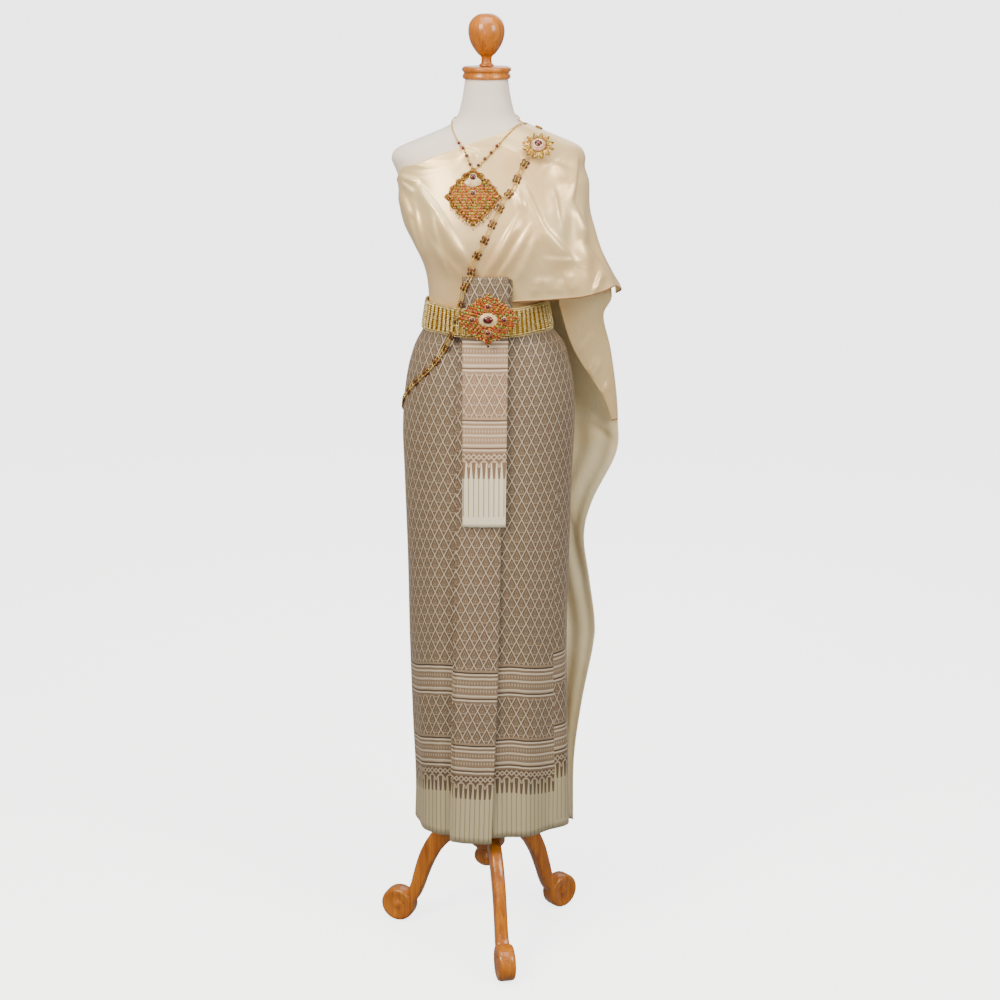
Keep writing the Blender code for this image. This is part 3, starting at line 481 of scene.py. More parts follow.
@dataclass(frozen=True)
class Jersey(Finish):
    """White cotton stretch jersey pulled over a smooth form: chalky, with fine knit ribs."""

    face: str = "F6ECDF"
    shade: str = "EBDFD0"
    rib: float = 0.0022  # the real 0.7 mm rib is drawn three times as coarse

    def sockets(self) -> dict[str, object]:
        """Uniform shader values."""
        return {"Roughness": 0.85, "Sheen Weight": 0.3, "Sheen Roughness": 0.5, "Specular IOR Level": 0.2}

    def pattern(self, tree: Tree, shader: bpy.types.ShaderNode) -> None:
        """Knit ribs and faint soiling.

        Args:
            tree: the material's node tree.
            shader: the node that the pattern feeds.
        """
        place = add(tree, "TexCoord", out="Object")
        soil = add(tree, "TexNoise", {"Vector": place, "Scale": 9.0, "Detail": 4.0})
        colour = add(tree, "ValToRGB", {"Fac": soil}, stops=[(0.3, self.shade), (0.7, self.face)])
        rib = add(
            tree,
            "TexWave",
            {"Vector": place, "Scale": 0.31 / self.rib, "Distortion": 0.4},
            bands_direction="DIAGONAL",
        )
        bump = add(tree, "Bump", {"Height": rib, "Strength": 0.15, "Distance": 0.0003})
        tree.links.new(colour, shader.inputs["Base Color"])
        tree.links.new(bump, shader.inputs["Normal"])


@dataclass(frozen=True)
class VarnishedWood(Finish):
    """Rubberwood stained honey brown under a clear gloss varnish: warm streaks below a sharp highlight."""

    light: str = "CE7E18"
    middle: str = "B4660C"
    dark: str = "904C08"
    grain: float = 0.006

    def sockets(self) -> dict[str, object]:
        """Uniform shader values."""
        return {"Coat Weight": 0.6, "Coat Roughness": 0.12, "Specular IOR Level": 0.4}

    def pattern(self, tree: Tree, shader: bpy.types.ShaderNode) -> None:
        """Grain that runs along the height, with short pores.

        Args:
            tree: the material's node tree.
            shader: the node that the pattern feeds.
        """
        place = add(tree, "TexCoord", out="Object")
        along = add(tree, "Mapping", {"Vector": place, "Scale": (1 / self.grain, 1 / self.grain, 9.0)})
        streak = add(tree, "TexNoise", {"Vector": along, "Scale": 1.0, "Detail": 5.0, "Distortion": 0.8})
        broad = add(tree, "TexNoise", {"Vector": place, "Scale": 14.0, "Detail": 2.0})
        both = add(tree, "Math", {0: streak, 1: 0.65, 2: 0.0}, operation="MULTIPLY_ADD")
        both = add(tree, "Math", {0: broad, 1: 0.35, 2: both}, operation="MULTIPLY_ADD")
        colour = add(
            tree,
            "ValToRGB",
            {"Fac": both},
            stops=[(0.33, self.dark), (0.48, self.middle), (0.64, self.light)],
        )
        pore = add(tree, "Mapping", {"Vector": place, "Scale": (1400.0, 1400.0, 60.0)})
        pores = add(tree, "TexNoise", {"Vector": pore, "Scale": 1.0, "Detail": 1.0})
        rough = add(tree, "MapRange", {"Value": pores, "To Min": 0.28, "To Max": 0.46})
        bump = add(tree, "Bump", {"Height": pores, "Strength": 0.06, "Distance": 0.0003})
        for name, source in (("Base Color", colour), ("Roughness", rough), ("Normal", bump)):
            tree.links.new(source, shader.inputs[name])


@dataclass(frozen=True)
class Gilt(Finish):
    """Gilded cast brass: bright yellow metal with darker hollows and a faintly worn polish."""

    bright: str = "EBCB74"
    dull: str = "B98F38"
    rough: float = 0.26

    def sockets(self) -> dict[str, object]:
        """Uniform shader values."""
        return {"Metallic": 1.0}

    def pattern(self, tree: Tree, shader: bpy.types.ShaderNode) -> None:
        """Patches of wear a few millimetres wide and small hammered dimples.

        Args:
            tree: the material's node tree.
            shader: the node that the pattern feeds.
        """
        place = add(tree, "TexCoord", out="Object")
        wear = add(tree, "TexNoise", {"Vector": place, "Scale": 260.0, "Detail": 3.0})
        colour = add(tree, "ValToRGB", {"Fac": wear}, stops=[(0.32, self.dull), (0.6, self.bright)])
        rough = add(
            tree, "MapRange", {"Value": wear, "To Min": self.rough + 0.16, "To Max": self.rough - 0.06}
        )
        dimple = add(tree, "TexVoronoi", {"Vector": place, "Scale": 700.0})
        bump = add(tree, "Bump", {"Height": dimple, "Strength": 0.25, "Distance": 0.0003})
        for name, source in (("Base Color", colour), ("Roughness", rough), ("Normal", bump)):
            tree.links.new(source, shader.inputs[name])


@dataclass(frozen=True)
class Stone(Finish):
    """Glass or paste stone: deep clear colour under a hard wet polish, lighter where it is thin."""

    deep: str
    light: str
    rough: float = 0.07

    def sockets(self) -> dict[str, object]:
        """Uniform shader values."""
        return {"IOR": 1.62, "Roughness": self.rough, "Coat Weight": 0.12, "Coat Roughness": 0.03}

    def pattern(self, tree: Tree, shader: bpy.types.ShaderNode) -> None:
        """Colour that varies from stone to stone and inside each stone.

        Args:
            tree: the material's node tree.
            shader: the node that the pattern feeds.
        """
        place = add(tree, "TexCoord", out="Object")
        tint = add(tree, "TexNoise", {"Vector": place, "Scale": 190.0, "Detail": 2.0})
        colour = add(tree, "ValToRGB", {"Fac": tint}, stops=[(0.35, self.deep), (0.66, self.light)])
        tree.links.new(colour, shader.inputs["Base Color"])


# Each satin's second colour is painted shade, spread over the cloth in soft patches.
CREAM_SATIN = Satin("satin_charmeuse_face", "FFE4AA", "F5CB8C", 0.34, 0.15, 0.8, 0.34)
SATIN_REVERSE = Satin("satin_crepe_reverse", "FFF2C8", "F6DFA8", 0.50, 0.20, 0.40, 0.0)
# The skirt's and the pleats' ivory ends are darker than the flap's: painted shade where less light reaches
# the hem.
SKIRT_CLOTH = Brocade("silk_brocade_skirt", "382C20", "76644F", "9C8971", "E6DAC2", "B6AB88", "8C8164")
PANEL_CLOTH = Brocade("silk_brocade_pleats", "3E3024", "7A6752", "A38F77", "EADEC8", "BDB18E", "8E8366")
# The flap's brocade is lighter and pinker than the pleats' own: partly its own colour, partly painted light
# and painted sheen for the brighter light at the waist.
FLAP_CLOTH_PAINTED_LIGHT = Brocade(
    "silk_brocade_flap_painted_light", "66503D", "A3866B", "C9AE92", "F2E4CC", "F4EACC", "A89A76", plain=0.019
)
JERSEY = Jersey("cotton_jersey")
WOOD = VarnishedWood("varnished_rubberwood")
GOLD = Gilt("gilded_brass")
PALE_GOLD = Gilt("gilded_brass_pale", "FFF3BE", "E2C674", 0.27)
OLD_GOLD = Gilt("gilded_brass_old", "CCA54C", "8E6C26", 0.34)
CHARCOAL_WIRE = Gilt("antique_brass_wire", "8A6A30", "4A3416", 0.36)
GARNET = Stone("garnet_cabochon", "2C0301", "740C04", 0.16)
WINE = Stone("wine_garnet", "300A02", "6A1804", 0.34)
ROSE = Stone("rose_enamel", "B06E58", "DCA890", 0.26)
CORAL = Stone("coral_paste", "8A1206", "C8361C")
PINK = Stone("pink_paste", "8E2226", "D0685A")
OLIVE = Stone("olive_paste", "444E14", "98A040")
AMBER = Stone("amber_paste", "94440A", "E49C38")
ENAMEL = Stone("cream_enamel", "D2B080", "EED6A8", 0.16)


# ---------------------------------------------------------------- shape helpers


def smooth(knots: Sequence[float], values: Sequence[float], at: Array) -> Array:
    """Read a smooth curve through a table.

    Args:
        knots: rising places.
        values: the value at each.
        at: where to read.

    Returns:
        The values there.
    """
    x, y = np.asarray(knots, float), np.asarray(values, float)
    slopes = np.gradient(y, x)
    at = np.clip(at, x[0], x[-1])
    k = np.clip(np.searchsorted(x, at, side="right") - 1, 0, len(x) - 2)
    step = x[k + 1] - x[k]
    t = (at - x[k]) / step
    start = (1 + 2 * t) * (1 - t) ** 2 * y[k] + t * (1 - t) ** 2 * step * slopes[k]
    return start + t * t * (3 - 2 * t) * y[k + 1] + t * t * (t - 1) * step * slopes[k + 1]


def ease(value: Array, start: float, end: float) -> Array:
    """0 at start, 1 at end and smooth between them."""
    share = np.clip((value - start) / (end - start), 0.0, 1.0)
    return share * share * (3 - 2 * share)


def normals(grid: Array, closed: bool = False) -> Array:
    """Outward unit normals of a grid with rows upward and columns from the left side round the front.

    Args:
        grid: points in rows and columns.
        closed: whether the last column repeats the first.

    Returns:
        One unit vector for each point.
    """
    upward = np.gradient(grid, axis=0)
    if closed:
        ring = grid[:, :-1]
        around = np.roll(ring, -1, 1) - np.roll(ring, 1, 1)
        around = np.concatenate([around, around[:, :1]], axis=1)
    else:
        around = np.gradient(grid, axis=1)
    out = np.cross(upward, around)
    return out / np.maximum(np.linalg.norm(out, axis=2, keepdims=True), 1e-12)


def refined(grid: Array, rows: int, columns: int) -> Array:
    """Read a coarse grid of points as a smooth sheet.

    Args:
        grid: rows upward, columns round.
        rows: rows wanted.
        columns: columns wanted.

    Returns:
        The finer grid.
    """
    high, wide = grid.shape[:2]
    up, round_ = np.linspace(0, high - 1, rows), np.linspace(0, wide - 1, columns)
    tall = np.stack([[smooth(range(high), grid[:, c, k], up) for c in range(wide)] for k in range(3)], -1)
    tall = tall.transpose(1, 0, 2)
    return np.stack([[smooth(range(wide), tall[r, :, k], round_) for r in range(rows)] for k in range(3)], -1)


def threads_of(grid: Array, middle: int | None = None) -> Array:
    """Thread coordinates in metres: the distance round from one column, and up from the lowest row.

    Args:
        grid: points in rows and columns.
        middle: the column that counts as 0, or none for the first.

    Returns:
        Two coordinates in metres for each point.
    """
    around = np.linalg.norm(np.diff(grid, axis=1), axis=2).cumsum(axis=1)
    around = np.concatenate([np.zeros((len(grid), 1)), around], axis=1)
    if middle is not None:
        around = around - around[:, middle : middle + 1]
    upward = np.linalg.norm(np.diff(grid, axis=0), axis=2).cumsum(axis=0)
    upward = np.concatenate([np.zeros((1, grid.shape[1])), upward])
    return np.stack([around, upward], axis=-1)


@dataclass(frozen=True)
class Outlines:
    """Level outlines: height, then reach right, left, forward and back, with a fullness."""

    rows: tuple[tuple[float, ...], ...]
    fullness: float = 2.2

    def points(self, heights: Array, angles: Array) -> Array:
        """Points at these heights and angles.

        Args:
            heights: heights in metres.
            angles: angles in radians from the wearer's left, round the front.

        Returns:
            One point for each pair.
        """
        table = np.array(self.rows)
        right, left, front, back = (smooth(table[:, 0], table[:, k], heights) for k in (1, 2, 3, 4))
        cosine, sine = np.cos(angles), np.sin(angles)
        across = np.sign(cosine) * np.abs(cosine) ** (2 / self.fullness)
        forward = np.sign(sine) * np.abs(sine) ** (2 / self.fullness)
        x = np.where(across > 0, left, right) * across
        y = -np.where(forward > 0, front, back) * forward
        return np.stack([x, y, heights + 0 * x], axis=-1)


BODY = Outlines(
    (
        (0.945, 0.122, 0.122, 0.082, 0.092), (0.957, 0.142, 0.142, 0.098, 0.108),
        (1.03, 0.148, 0.148, 0.103, 0.117), (1.1, 0.147, 0.147, 0.105, 0.119),
        (1.16, 0.134, 0.134, 0.102, 0.108), (1.215, 0.114, 0.114, 0.097, 0.09),
        (1.26, 0.103, 0.103, 0.094, 0.079), (1.3, 0.104, 0.104, 0.097, 0.078),
        (1.335, 0.108, 0.108, 0.103, 0.081), (1.365, 0.117, 0.117, 0.113, 0.084),
        (1.395, 0.132, 0.132, 0.121, 0.087), (1.425, 0.147, 0.147, 0.122, 0.09),
        (1.465, 0.156, 0.156, 0.112, 0.093), (1.5, 0.159, 0.159, 0.099, 0.094),
        (1.522, 0.167, 0.167, 0.09, 0.091), (1.546, 0.174, 0.174, 0.081, 0.086),
        (1.561, 0.164, 0.164, 0.074, 0.081), (1.575, 0.133, 0.133, 0.068, 0.075),
        (1.588, 0.101, 0.101, 0.062, 0.068), (1.601, 0.071, 0.071, 0.055, 0.061),
        (1.615, 0.057, 0.057, 0.049, 0.056), (1.64, 0.048, 0.048, 0.045, 0.049),
        (1.681, 0.041, 0.041, 0.041, 0.042),
    ),
)
SKIRT = Outlines(
    (
        (0.262, 0.143, 0.16, 0.121, 0.119), (0.33, 0.141, 0.158, 0.12, 0.119),
        (0.46, 0.145, 0.155, 0.119, 0.12), (0.62, 0.149, 0.152, 0.118, 0.121),
        (0.8, 0.151, 0.155, 0.117, 0.123), (0.96, 0.155, 0.159, 0.116, 0.125),
        (1.05, 0.157, 0.163, 0.115, 0.126), (1.12, 0.152, 0.161, 0.113, 0.122),
        (1.17, 0.143, 0.152, 0.109, 0.112), (1.208, 0.13, 0.139, 0.105, 0.1),
        (1.235, 0.115, 0.117, 0.101, 0.09), (1.25, 0.1094, 0.1094, 0.0984, 0.0852),
        (1.272, 0.1068, 0.1068, 0.0984, 0.0822),
    ),
)
HANG = Outlines(
    (
        (1.2, 0.105, 0.254, 0.12, 0.116), (1.285, 0.105, 0.2495, 0.122, 0.113),
        (1.305, 0.108, 0.247, 0.124, 0.112), (1.33, 0.112, 0.233, 0.126, 0.111),
        (1.36, 0.12, 0.217, 0.129, 0.109), (1.395, 0.135, 0.201, 0.132, 0.107),
        (1.44, 0.152, 0.188, 0.131, 0.104), (1.5, 0.163, 0.185, 0.108, 0.101),
        (1.535, 0.172, 0.1815, 0.094, 0.097), (1.56, 0.168, 0.174, 0.084, 0.091),
    ),
    2.5,
)


def cloth_mesh(name: str, grid: Array, threads: Array, closed: bool = False) -> bpy.types.Object:
    """Make a sheet from a flat grid whose points are moved into place.

    Args:
        name: the piece's name.
        grid: its points about the pole's axis, rows upward, columns from the wearer's left over the front.
        threads: the thread coordinates of each point in metres.
        closed: whether the sheet's two side edges meet.

    Returns:
        The new object.
    """
    up, across = grid.shape[0] - 1, grid.shape[1] - 1
    work = bmesh.new()
    bmesh.ops.create_grid(work, x_segments=across, y_segments=up, size=0.5)
    layer = work.loops.layers.uv.new("threads")
    for vert in work.verts:
        column = across - round((vert.co.x + 0.5) * across)
        row = round((vert.co.y + 0.5) * up)
        vert.co = Vector(grid[row, column] + AXIS)
        for loop in vert.link_loops:
            loop[layer].uv = threads[row, column]
    if closed:
        bmesh.ops.remove_doubles(work, verts=work.verts, dist=1e-6)
    return finished(name, work)


def finished(name: str, work: bmesh.types.BMesh) -> bpy.types.Object:
    """Turn a bmesh into a smooth-shaded object at the origin.

    Args:
        name: name of the piece.
        work: the bmesh, which is freed here.

    Returns:
        The object, linked to the scene.
    """
    mesh = bpy.data.meshes.new(name)
    for face in work.faces:
        face.smooth = True
    work.to_mesh(mesh)
    work.free()
    made = bpy.data.objects.new(name, mesh)
    bpy.context.scene.collection.objects.link(made)
    return made


def enlist(
    piece: bpy.types.Object,
    finishes: Sequence[Finish],
    replaces: Sequence[str] = (),
    thickness: float = 0.0,
    turned: bool = True,
) -> bpy.types.Object:
    """Dress a piece, give a sheet its thickness and enter it in the frame.

    Args:
        piece: the object.
        finishes: its finishes, the reverse side's second.
        replaces: the CAD nodes that it stands for.
        thickness: a sheet's thickness.
        turned: whether the last finish is that of a sheet's reverse.

    Returns:
        The same object.
    """
    for finish in finishes:
        piece.data.materials.append(finish.build())
    if thickness:
        wall = piece.modifiers.new("thickness", "SOLIDIFY")
        wall.thickness = thickness
        wall.offset = 0.0
        wall.use_even_offset = True
        wall.material_offset = (len(finishes) - 1) * turned
    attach(piece, "root")
    if replaces:
        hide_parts(*replaces)
    LOG.info("%s: %d faces", piece.name, len(piece.data.polygons))
    return piece


def surface(pieces: Sequence[bpy.types.Object]) -> BVHTree:
    """A search tree over the finished surfaces of these pieces.

    Args:
        pieces: the objects to lay things on.

    Returns:
        The search tree.
    """
    graph = bpy.context.evaluated_depsgraph_get()
    points: list[Vector] = []
    faces: list[list[int]] = []
    for piece in pieces:
        mesh = piece.evaluated_get(graph).to_mesh()
        start = len(points)
        points += [vertex.co.copy() for vertex in mesh.vertices]
        faces += [[start + k for k in face.vertices] for face in mesh.polygons]
    return BVHTree.FromPolygons(points, faces)


def spaced(guide: Sequence[Point], step: float) -> Array:
    """Points this far apart along a smooth curve through the given ones.

    Args:
        guide: the points that the line passes.
        step: distance between points in metres.

    Returns:
        The points.
    """
    points = np.array(guide)
    fine = np.linspace(0, len(points) - 1, 40 * len(points))
    curve = np.column_stack([np.interp(fine, np.arange(len(points)), points[:, k]) for k in range(3)])
    for _ in range(60):
        curve[1:-1] = (curve[:-2] + 2 * curve[1:-1] + curve[2:]) / 4
    return respaced(curve, step)


def respaced(curve: Array, step: float) -> Array:
    """The same line as evenly spaced points.

    Args:
        curve: the points of the line.
        step: distance between points in metres.

    Returns:
        The points.
    """
    run = np.concatenate([[0.0], np.cumsum(np.linalg.norm(np.diff(curve, axis=0), axis=1))])
    stops = np.linspace(0.0, run[-1], max(2, round(run[-1] / step)) + 1)
    return np.column_stack([np.interp(stops, run, curve[:, k]) for k in range(3)])


def laid(points: Array, cloth: BVHTree, clear: float, rounds: int) -> tuple[Array, Array]:
    """Draw points in to the cloth.

    Args:
        points: a line just outside the cloth.
        cloth: the surfaces that carry it.
        clear: the distance kept off them.
        rounds: how often the line is tightened.

    Returns:
        The points and the outward direction at each.
    """
    outward = np.zeros_like(points)
    for turn in range(rounds):
        for index, point in enumerate(points):
            near, normal, _, gap = cloth.find_nearest(Vector(point))
            away = Vector(point) - near
            out = away.normalized() if gap > 1e-5 and away.dot(normal) > 0 else normal
            outward[index] = out
            if turn == 0 or away.dot(normal) <= 0 or gap < clear:
                points[index] = near + out * clear
        if turn < rounds - 1:
            points[1:-1] = (points[:-2] + 2 * points[1:-1] + points[2:]) / 4
    outward[1:-1] = outward[:-2] + 2 * outward[1:-1] + outward[2:]
    return points, outward / np.linalg.norm(outward, axis=1)[:, None]


# ---------------------------------------------------------------- jewellery kit


@dataclass(frozen=True)
class Seat:
    """A flat place on the dress: its middle, and its right, up and outward directions."""

    at: Vector
    right: Vector
    up: Vector
    out: Vector

    def point(self, u: float, v: float, h: float) -> Vector:
        """A point by its place on the seat and its height above it."""
        return self.at + self.right * u + self.up * v + self.out * h

    def matrix(self, u: float, v: float, h: float, turn: float = 0.0) -> Matrix:
        """Where a shape made flat at the origin goes."""
        place = Matrix((self.right, self.up, self.out)).transposed().to_4x4()
        return Matrix.Translation(self.point(u, v, h)) @ place @ Matrix.Rotation(turn, 4, "Z")


@lru_cache
def bead_shape(detail: int) -> bpy.types.Mesh:
    """A ball of radius 1.

    Args:
        detail: subdivisions of the ball.

    Returns:
        The mesh.
    """
    work = bmesh.new()
    bmesh.ops.create_icosphere(work, subdivisions=detail, radius=1.0)
    return shape_of("bead", work)


@lru_cache
def ring_shape(wire: float, sides: int) -> bpy.types.Mesh:
    """A wire ring of radius 1, spun from a small circle.

    Args:
        wire: radius of the wire as a share of the ring.
        sides: steps round the ring.

    Returns:
        The mesh.
    """
    work = bmesh.new()
    verts = bmesh.ops.create_circle(work, cap_ends=False, segments=5, radius=max(wire, 0.01))["verts"]
    upright = Matrix.Translation((1.0, 0.0, 0.0)) @ Matrix.Rotation(math.pi / 2, 4, "X")
    bmesh.ops.transform(work, matrix=upright, verts=verts)
    turn = {"axis": (0, 0, 1), "cent": (0, 0, 0), "angle": 2 * math.pi, "steps": sides, "use_merge": True}
    bmesh.ops.spin(work, geom=list(work.verts) + list(work.edges), **turn)
    bmesh.ops.recalc_face_normals(work, faces=work.faces)
    return shape_of("ring", work)


def shape_of(name: str, work: bmesh.types.BMesh) -> bpy.types.Mesh:
    """Keep a bmesh as a smooth-shaded mesh to copy from.

    Args:
        name: name of the mesh.
        work: the bmesh, which is freed here.

    Returns:
        The mesh.
    """
    mesh = bpy.data.meshes.new(name)
    for face in work.faces:
        face.smooth = True
    work.to_mesh(mesh)
    work.free()
    return mesh


@dataclass
class Jewel:
    """One piece of jewellery, built from many small shapes with their own finishes."""

    name: str
    finishes: tuple[Finish, ...]
    work: bmesh.types.BMesh = field(default_factory=bmesh.new)

    def stamp(self, shape: bpy.types.Mesh, finish: Finish, place: Matrix) -> None:
        """Add a copy of a small shape in its place and with its finish.

        Args:
            shape: the mesh to copy.
            finish: finish of the copy.
            place: where it goes.
        """
        copy = shape.copy()
        copy.transform(place)
        copy.polygons.foreach_set("material_index", [self.finishes.index(finish)] * len(copy.polygons))
        self.work.from_mesh(copy)
        bpy.data.meshes.remove(copy)

    def bead(self, finish: Finish, place: Matrix, size: Sequence[float], detail: int = 1) -> None:
        """A round or oval bead or cabochon with these half sizes."""
        self.stamp(bead_shape(detail), finish, place @ Matrix.Diagonal((*size, 1.0)))

    def ring(
        self, finish: Finish, place: Matrix, reach: Sequence[float], wire: float, sides: int = 14
    ) -> None:
        """A wire ring of this wire radius, with two half sizes to the wire's middle."""
        shape = ring_shape(round(wire / reach[0], 2), sides)
        self.stamp(shape, finish, place @ Matrix.Diagonal((*reach, reach[0], 1.0)))

    def plate(
        self, finish: Finish, place: Matrix, edge: Edge, steps: Sequence[tuple[float, float]], sides: int
    ) -> None:
        """A closed plate with a shaped edge and a face raised in steps.

        Args:
            finish: its finish.
            place: where its middle lies and how it is turned.
            edge: the edge's place at each angle.
            steps: each step's share of the reach and height, the first at the edge.
            sides: points round the edge.
        """
        made = bmesh.ops.create_cone(
            self.work, cap_ends=True, segments=sides, radius1=1.0, radius2=1.0, depth=1.0
        )["verts"]
        faces = {face for vert in made for face in vert.link_faces}
        top = max(faces, key=lambda face: face.calc_center_median().z)
        for vert in made:
            u, v = edge(math.atan2(vert.co.y, vert.co.x))
            vert.co = Vector((u, v, steps[0][1] if vert.co.z > 0 else 0.0))
        every, last = list(made), steps[0][0]
        for share, height in steps[1:]:
            top = bmesh.ops.extrude_discrete_faces(self.work, faces=[top])["faces"][0]
            for vert in top.verts:
                vert.co = Vector((vert.co.x * share / last, vert.co.y * share / last, height))
            last = share
            every += list(top.verts)
        bmesh.ops.transform(self.work, matrix=place, verts=every)
        for face in {face for vert in every for face in vert.link_faces}:
            face.material_index = self.finishes.index(finish)

    def stone(
        self,
        finish: Finish,
        place: Matrix,
        size: Sequence[float],
        claw: Finish | None = None,
        detail: int = 2,
    ) -> None:
        """A cabochon with these half sizes, in a wire collet where a claw finish is named.

        Args:
            finish: finish of the stone.
            place: its middle and its own axes.
            size: half sizes in metres.
            claw: finish of the collet, or none.
            detail: subdivisions of the ball that it is made from.
        """
        self.bead(finish, place, size, detail)
        if claw:
            wire = max(0.00045, 0.15 * min(size[0], size[1]))
            self.ring(
                claw,
                place,
                (size[0] + 0.6 * wire, size[1] + 0.6 * wire),
                wire,
                10 if size[0] < 0.003 else 18,
            )

    def done(self, slot: Slot, replaces: Sequence[str]) -> bpy.types.Object:
        """Finish the jewel and enter it in the frame."""
        return enlist(finished(self.name, self.work), self.finishes, replaces)


def rhombus(reach: tuple[float, float]) -> Edge:
    """The outline of a rhombus with jagged sides.

    Args:
        reach: half width and half height in metres.

    Returns:
        The place on the outline at each angle.
    """

    def edge(angle: float) -> tuple[float, float]:
        """Place at one angle.

        Args:
            angle: angle in radians round the plate.

        Returns:
            The place across and up.
        """
        base = (abs(math.cos(angle)) ** 1.25 + abs(math.sin(angle)) ** 1.25) ** -0.8
        far = base * (1 + 0.045 * math.cos(16 * angle))
        return reach[0] * far * math.cos(angle), reach[1] * far * math.sin(angle)

    return edge


# ---------------------------------------------------------------- the form and its stand


@dataclass
class Form:
    """The limbless torso in white jersey."""

    rows: int = 110
    columns: int = 120
    inset: float = 0.0024
    covered: float = 0.0038

    def build(self) -> bpy.types.Object:
        """Pull the jersey over the torso and close it at the neck and at the base.

        Returns:
            The finished object.
        """
        table = np.array(BODY.rows)
        run = np.concatenate([[0.0], np.hypot(np.diff(table[:, 0]), np.diff(table[:, 2])).cumsum()])
        heights = np.interp(np.linspace(0, run[-1], self.rows), run, table[:, 0])[:, None]
        angles = np.linspace(0, 2 * math.pi, self.columns + 1)[None, :]
        grid = BODY.points(*np.broadcast_arrays(heights, angles))
        out = normals(grid, True)
        out[[0, -1], :, 2] = 0.0
        hidden = ease(np.cos(angles), -0.2, 0.0) * ease(heights, 1.44, 1.46) * ease(heights, 1.598, 1.59)
        hidden = hidden + 2.0 * ease(heights, 1.14, 1.04)
        grid = grid - out * (self.inset + (self.covered - self.inset) * hidden)[..., None]
        ends = (
            [grid[[0]] * [[[k, k, 1.0]]] for k in (0.0001, 0.6)] + [grid]
            + [grid[[-1]] * [[[k, k, 1.0]]] for k in (0.6, 0.0001)]
        )
        grid = np.concatenate(ends)
        piece = cloth_mesh("torso_jersey", grid, threads_of(grid), closed=True)
        return enlist(piece, [JERSEY], ["form_torso"])


@dataclass(frozen=True)
class Turned:
    """A part turned on the lathe, by radius and height from the top down."""

    name: str
    node: str
    profile: tuple[tuple[float, float], ...]
    steps: int = 48
    crisp: float = 0.0012

    def build(self) -> bpy.types.Object:
        """Spin the profile about the pole's axis and round its edges.

        Returns:
            The finished object.
        """
        work = bmesh.new()
        line = ((0.0, self.profile[0][1]), *self.profile, (0.0, self.profile[-1][1]))
        verts = [work.verts.new((POLE.x + radius, POLE.y, z)) for radius, z in line]
        edges = [work.edges.new(pair) for pair in zip(verts, verts[1:])]
        turn = {"axis": (0, 0, 1), "cent": (POLE.x, POLE.y, 0), "angle": 2 * math.pi, "steps": self.steps}
        bmesh.ops.spin(work, geom=verts + edges, use_merge=True, **turn)
        bmesh.ops.remove_doubles(work, verts=work.verts, dist=1e-6)
        bmesh.ops.recalc_face_normals(work, faces=work.faces)
        piece = enlist(finished(self.name, work), [WOOD], [self.node])
        edge = piece.modifiers.new("eased_edges", "BEVEL")
        edge.width, edge.segments, edge.limit_method = self.crisp, 3, "ANGLE"
        edge.angle_limit = math.radians(34)
        edge.harden_normals = False
        return piece


def softened(rows: Sequence[tuple[float, float]], steps: int = 6) -> tuple[tuple[float, float], ...]:
    """A smoother profile through the same rows.

    Args:
        rows: height and radius of each row.
        steps: new rows for each old one.

    Returns:
        The new rows.
    """
    table = np.array(rows)
    at = np.linspace(0, len(table) - 1, steps * (len(table) - 1) + 1)
    return tuple(zip(*(smooth(range(len(table)), table[:, k], at) for k in (0, 1))))


CAP = Turned(
    "turned_neck_cap",
    "neck_cap",
    (
        (0.0330, 1.7035), (0.0400, 1.7035), (0.0440, 1.7010), (0.0440, 1.6960), (0.0400, 1.6930),
        (0.0430, 1.6880), (0.0430, 1.6835), (0.0400, 1.6815), (0.0300, 1.6815),
    ),
)
FINIAL = Turned(
    "turned_finial_ball",
    "neck_finial",
    softened(
        (
            (0.0030, 1.7956), (0.0120, 1.7945), (0.0220, 1.7893), (0.0300, 1.7790), (0.0325, 1.7660),
            (0.0310, 1.7530), (0.0260, 1.7400), (0.0170, 1.7270), (0.0098, 1.7200), (0.0095, 1.7100),
        )
    )
    + ((0.0105, 1.7085), (0.0135, 1.7068), (0.0135, 1.7040)),
)
POLE_ROD = Turned("turned_pole", "stand_pole", ((0.0125, 0.9445), (0.0125, 0.6), (0.0125, 0.2905)))
HUB = Turned(
    "turned_hub",
    "stand_hub",
    (
        (0.0150, 0.2900), (0.0190, 0.2880), (0.0198, 0.2850), (0.0190, 0.2815), (0.0205, 0.2790),
        (0.0205, 0.2700), (0.0260, 0.2640), (0.0330, 0.2615), (0.0340, 0.2580), (0.0340, 0.2020),
        (0.0325, 0.1980), (0.0270, 0.1935), (0.0225, 0.1880), (0.0215, 0.1850), (0.0250, 0.1790),
        (0.0270, 0.1730), (0.0268, 0.1660), (0.0235, 0.1600), (0.0180, 0.1550), (0.0080, 0.1522),
    ),
)


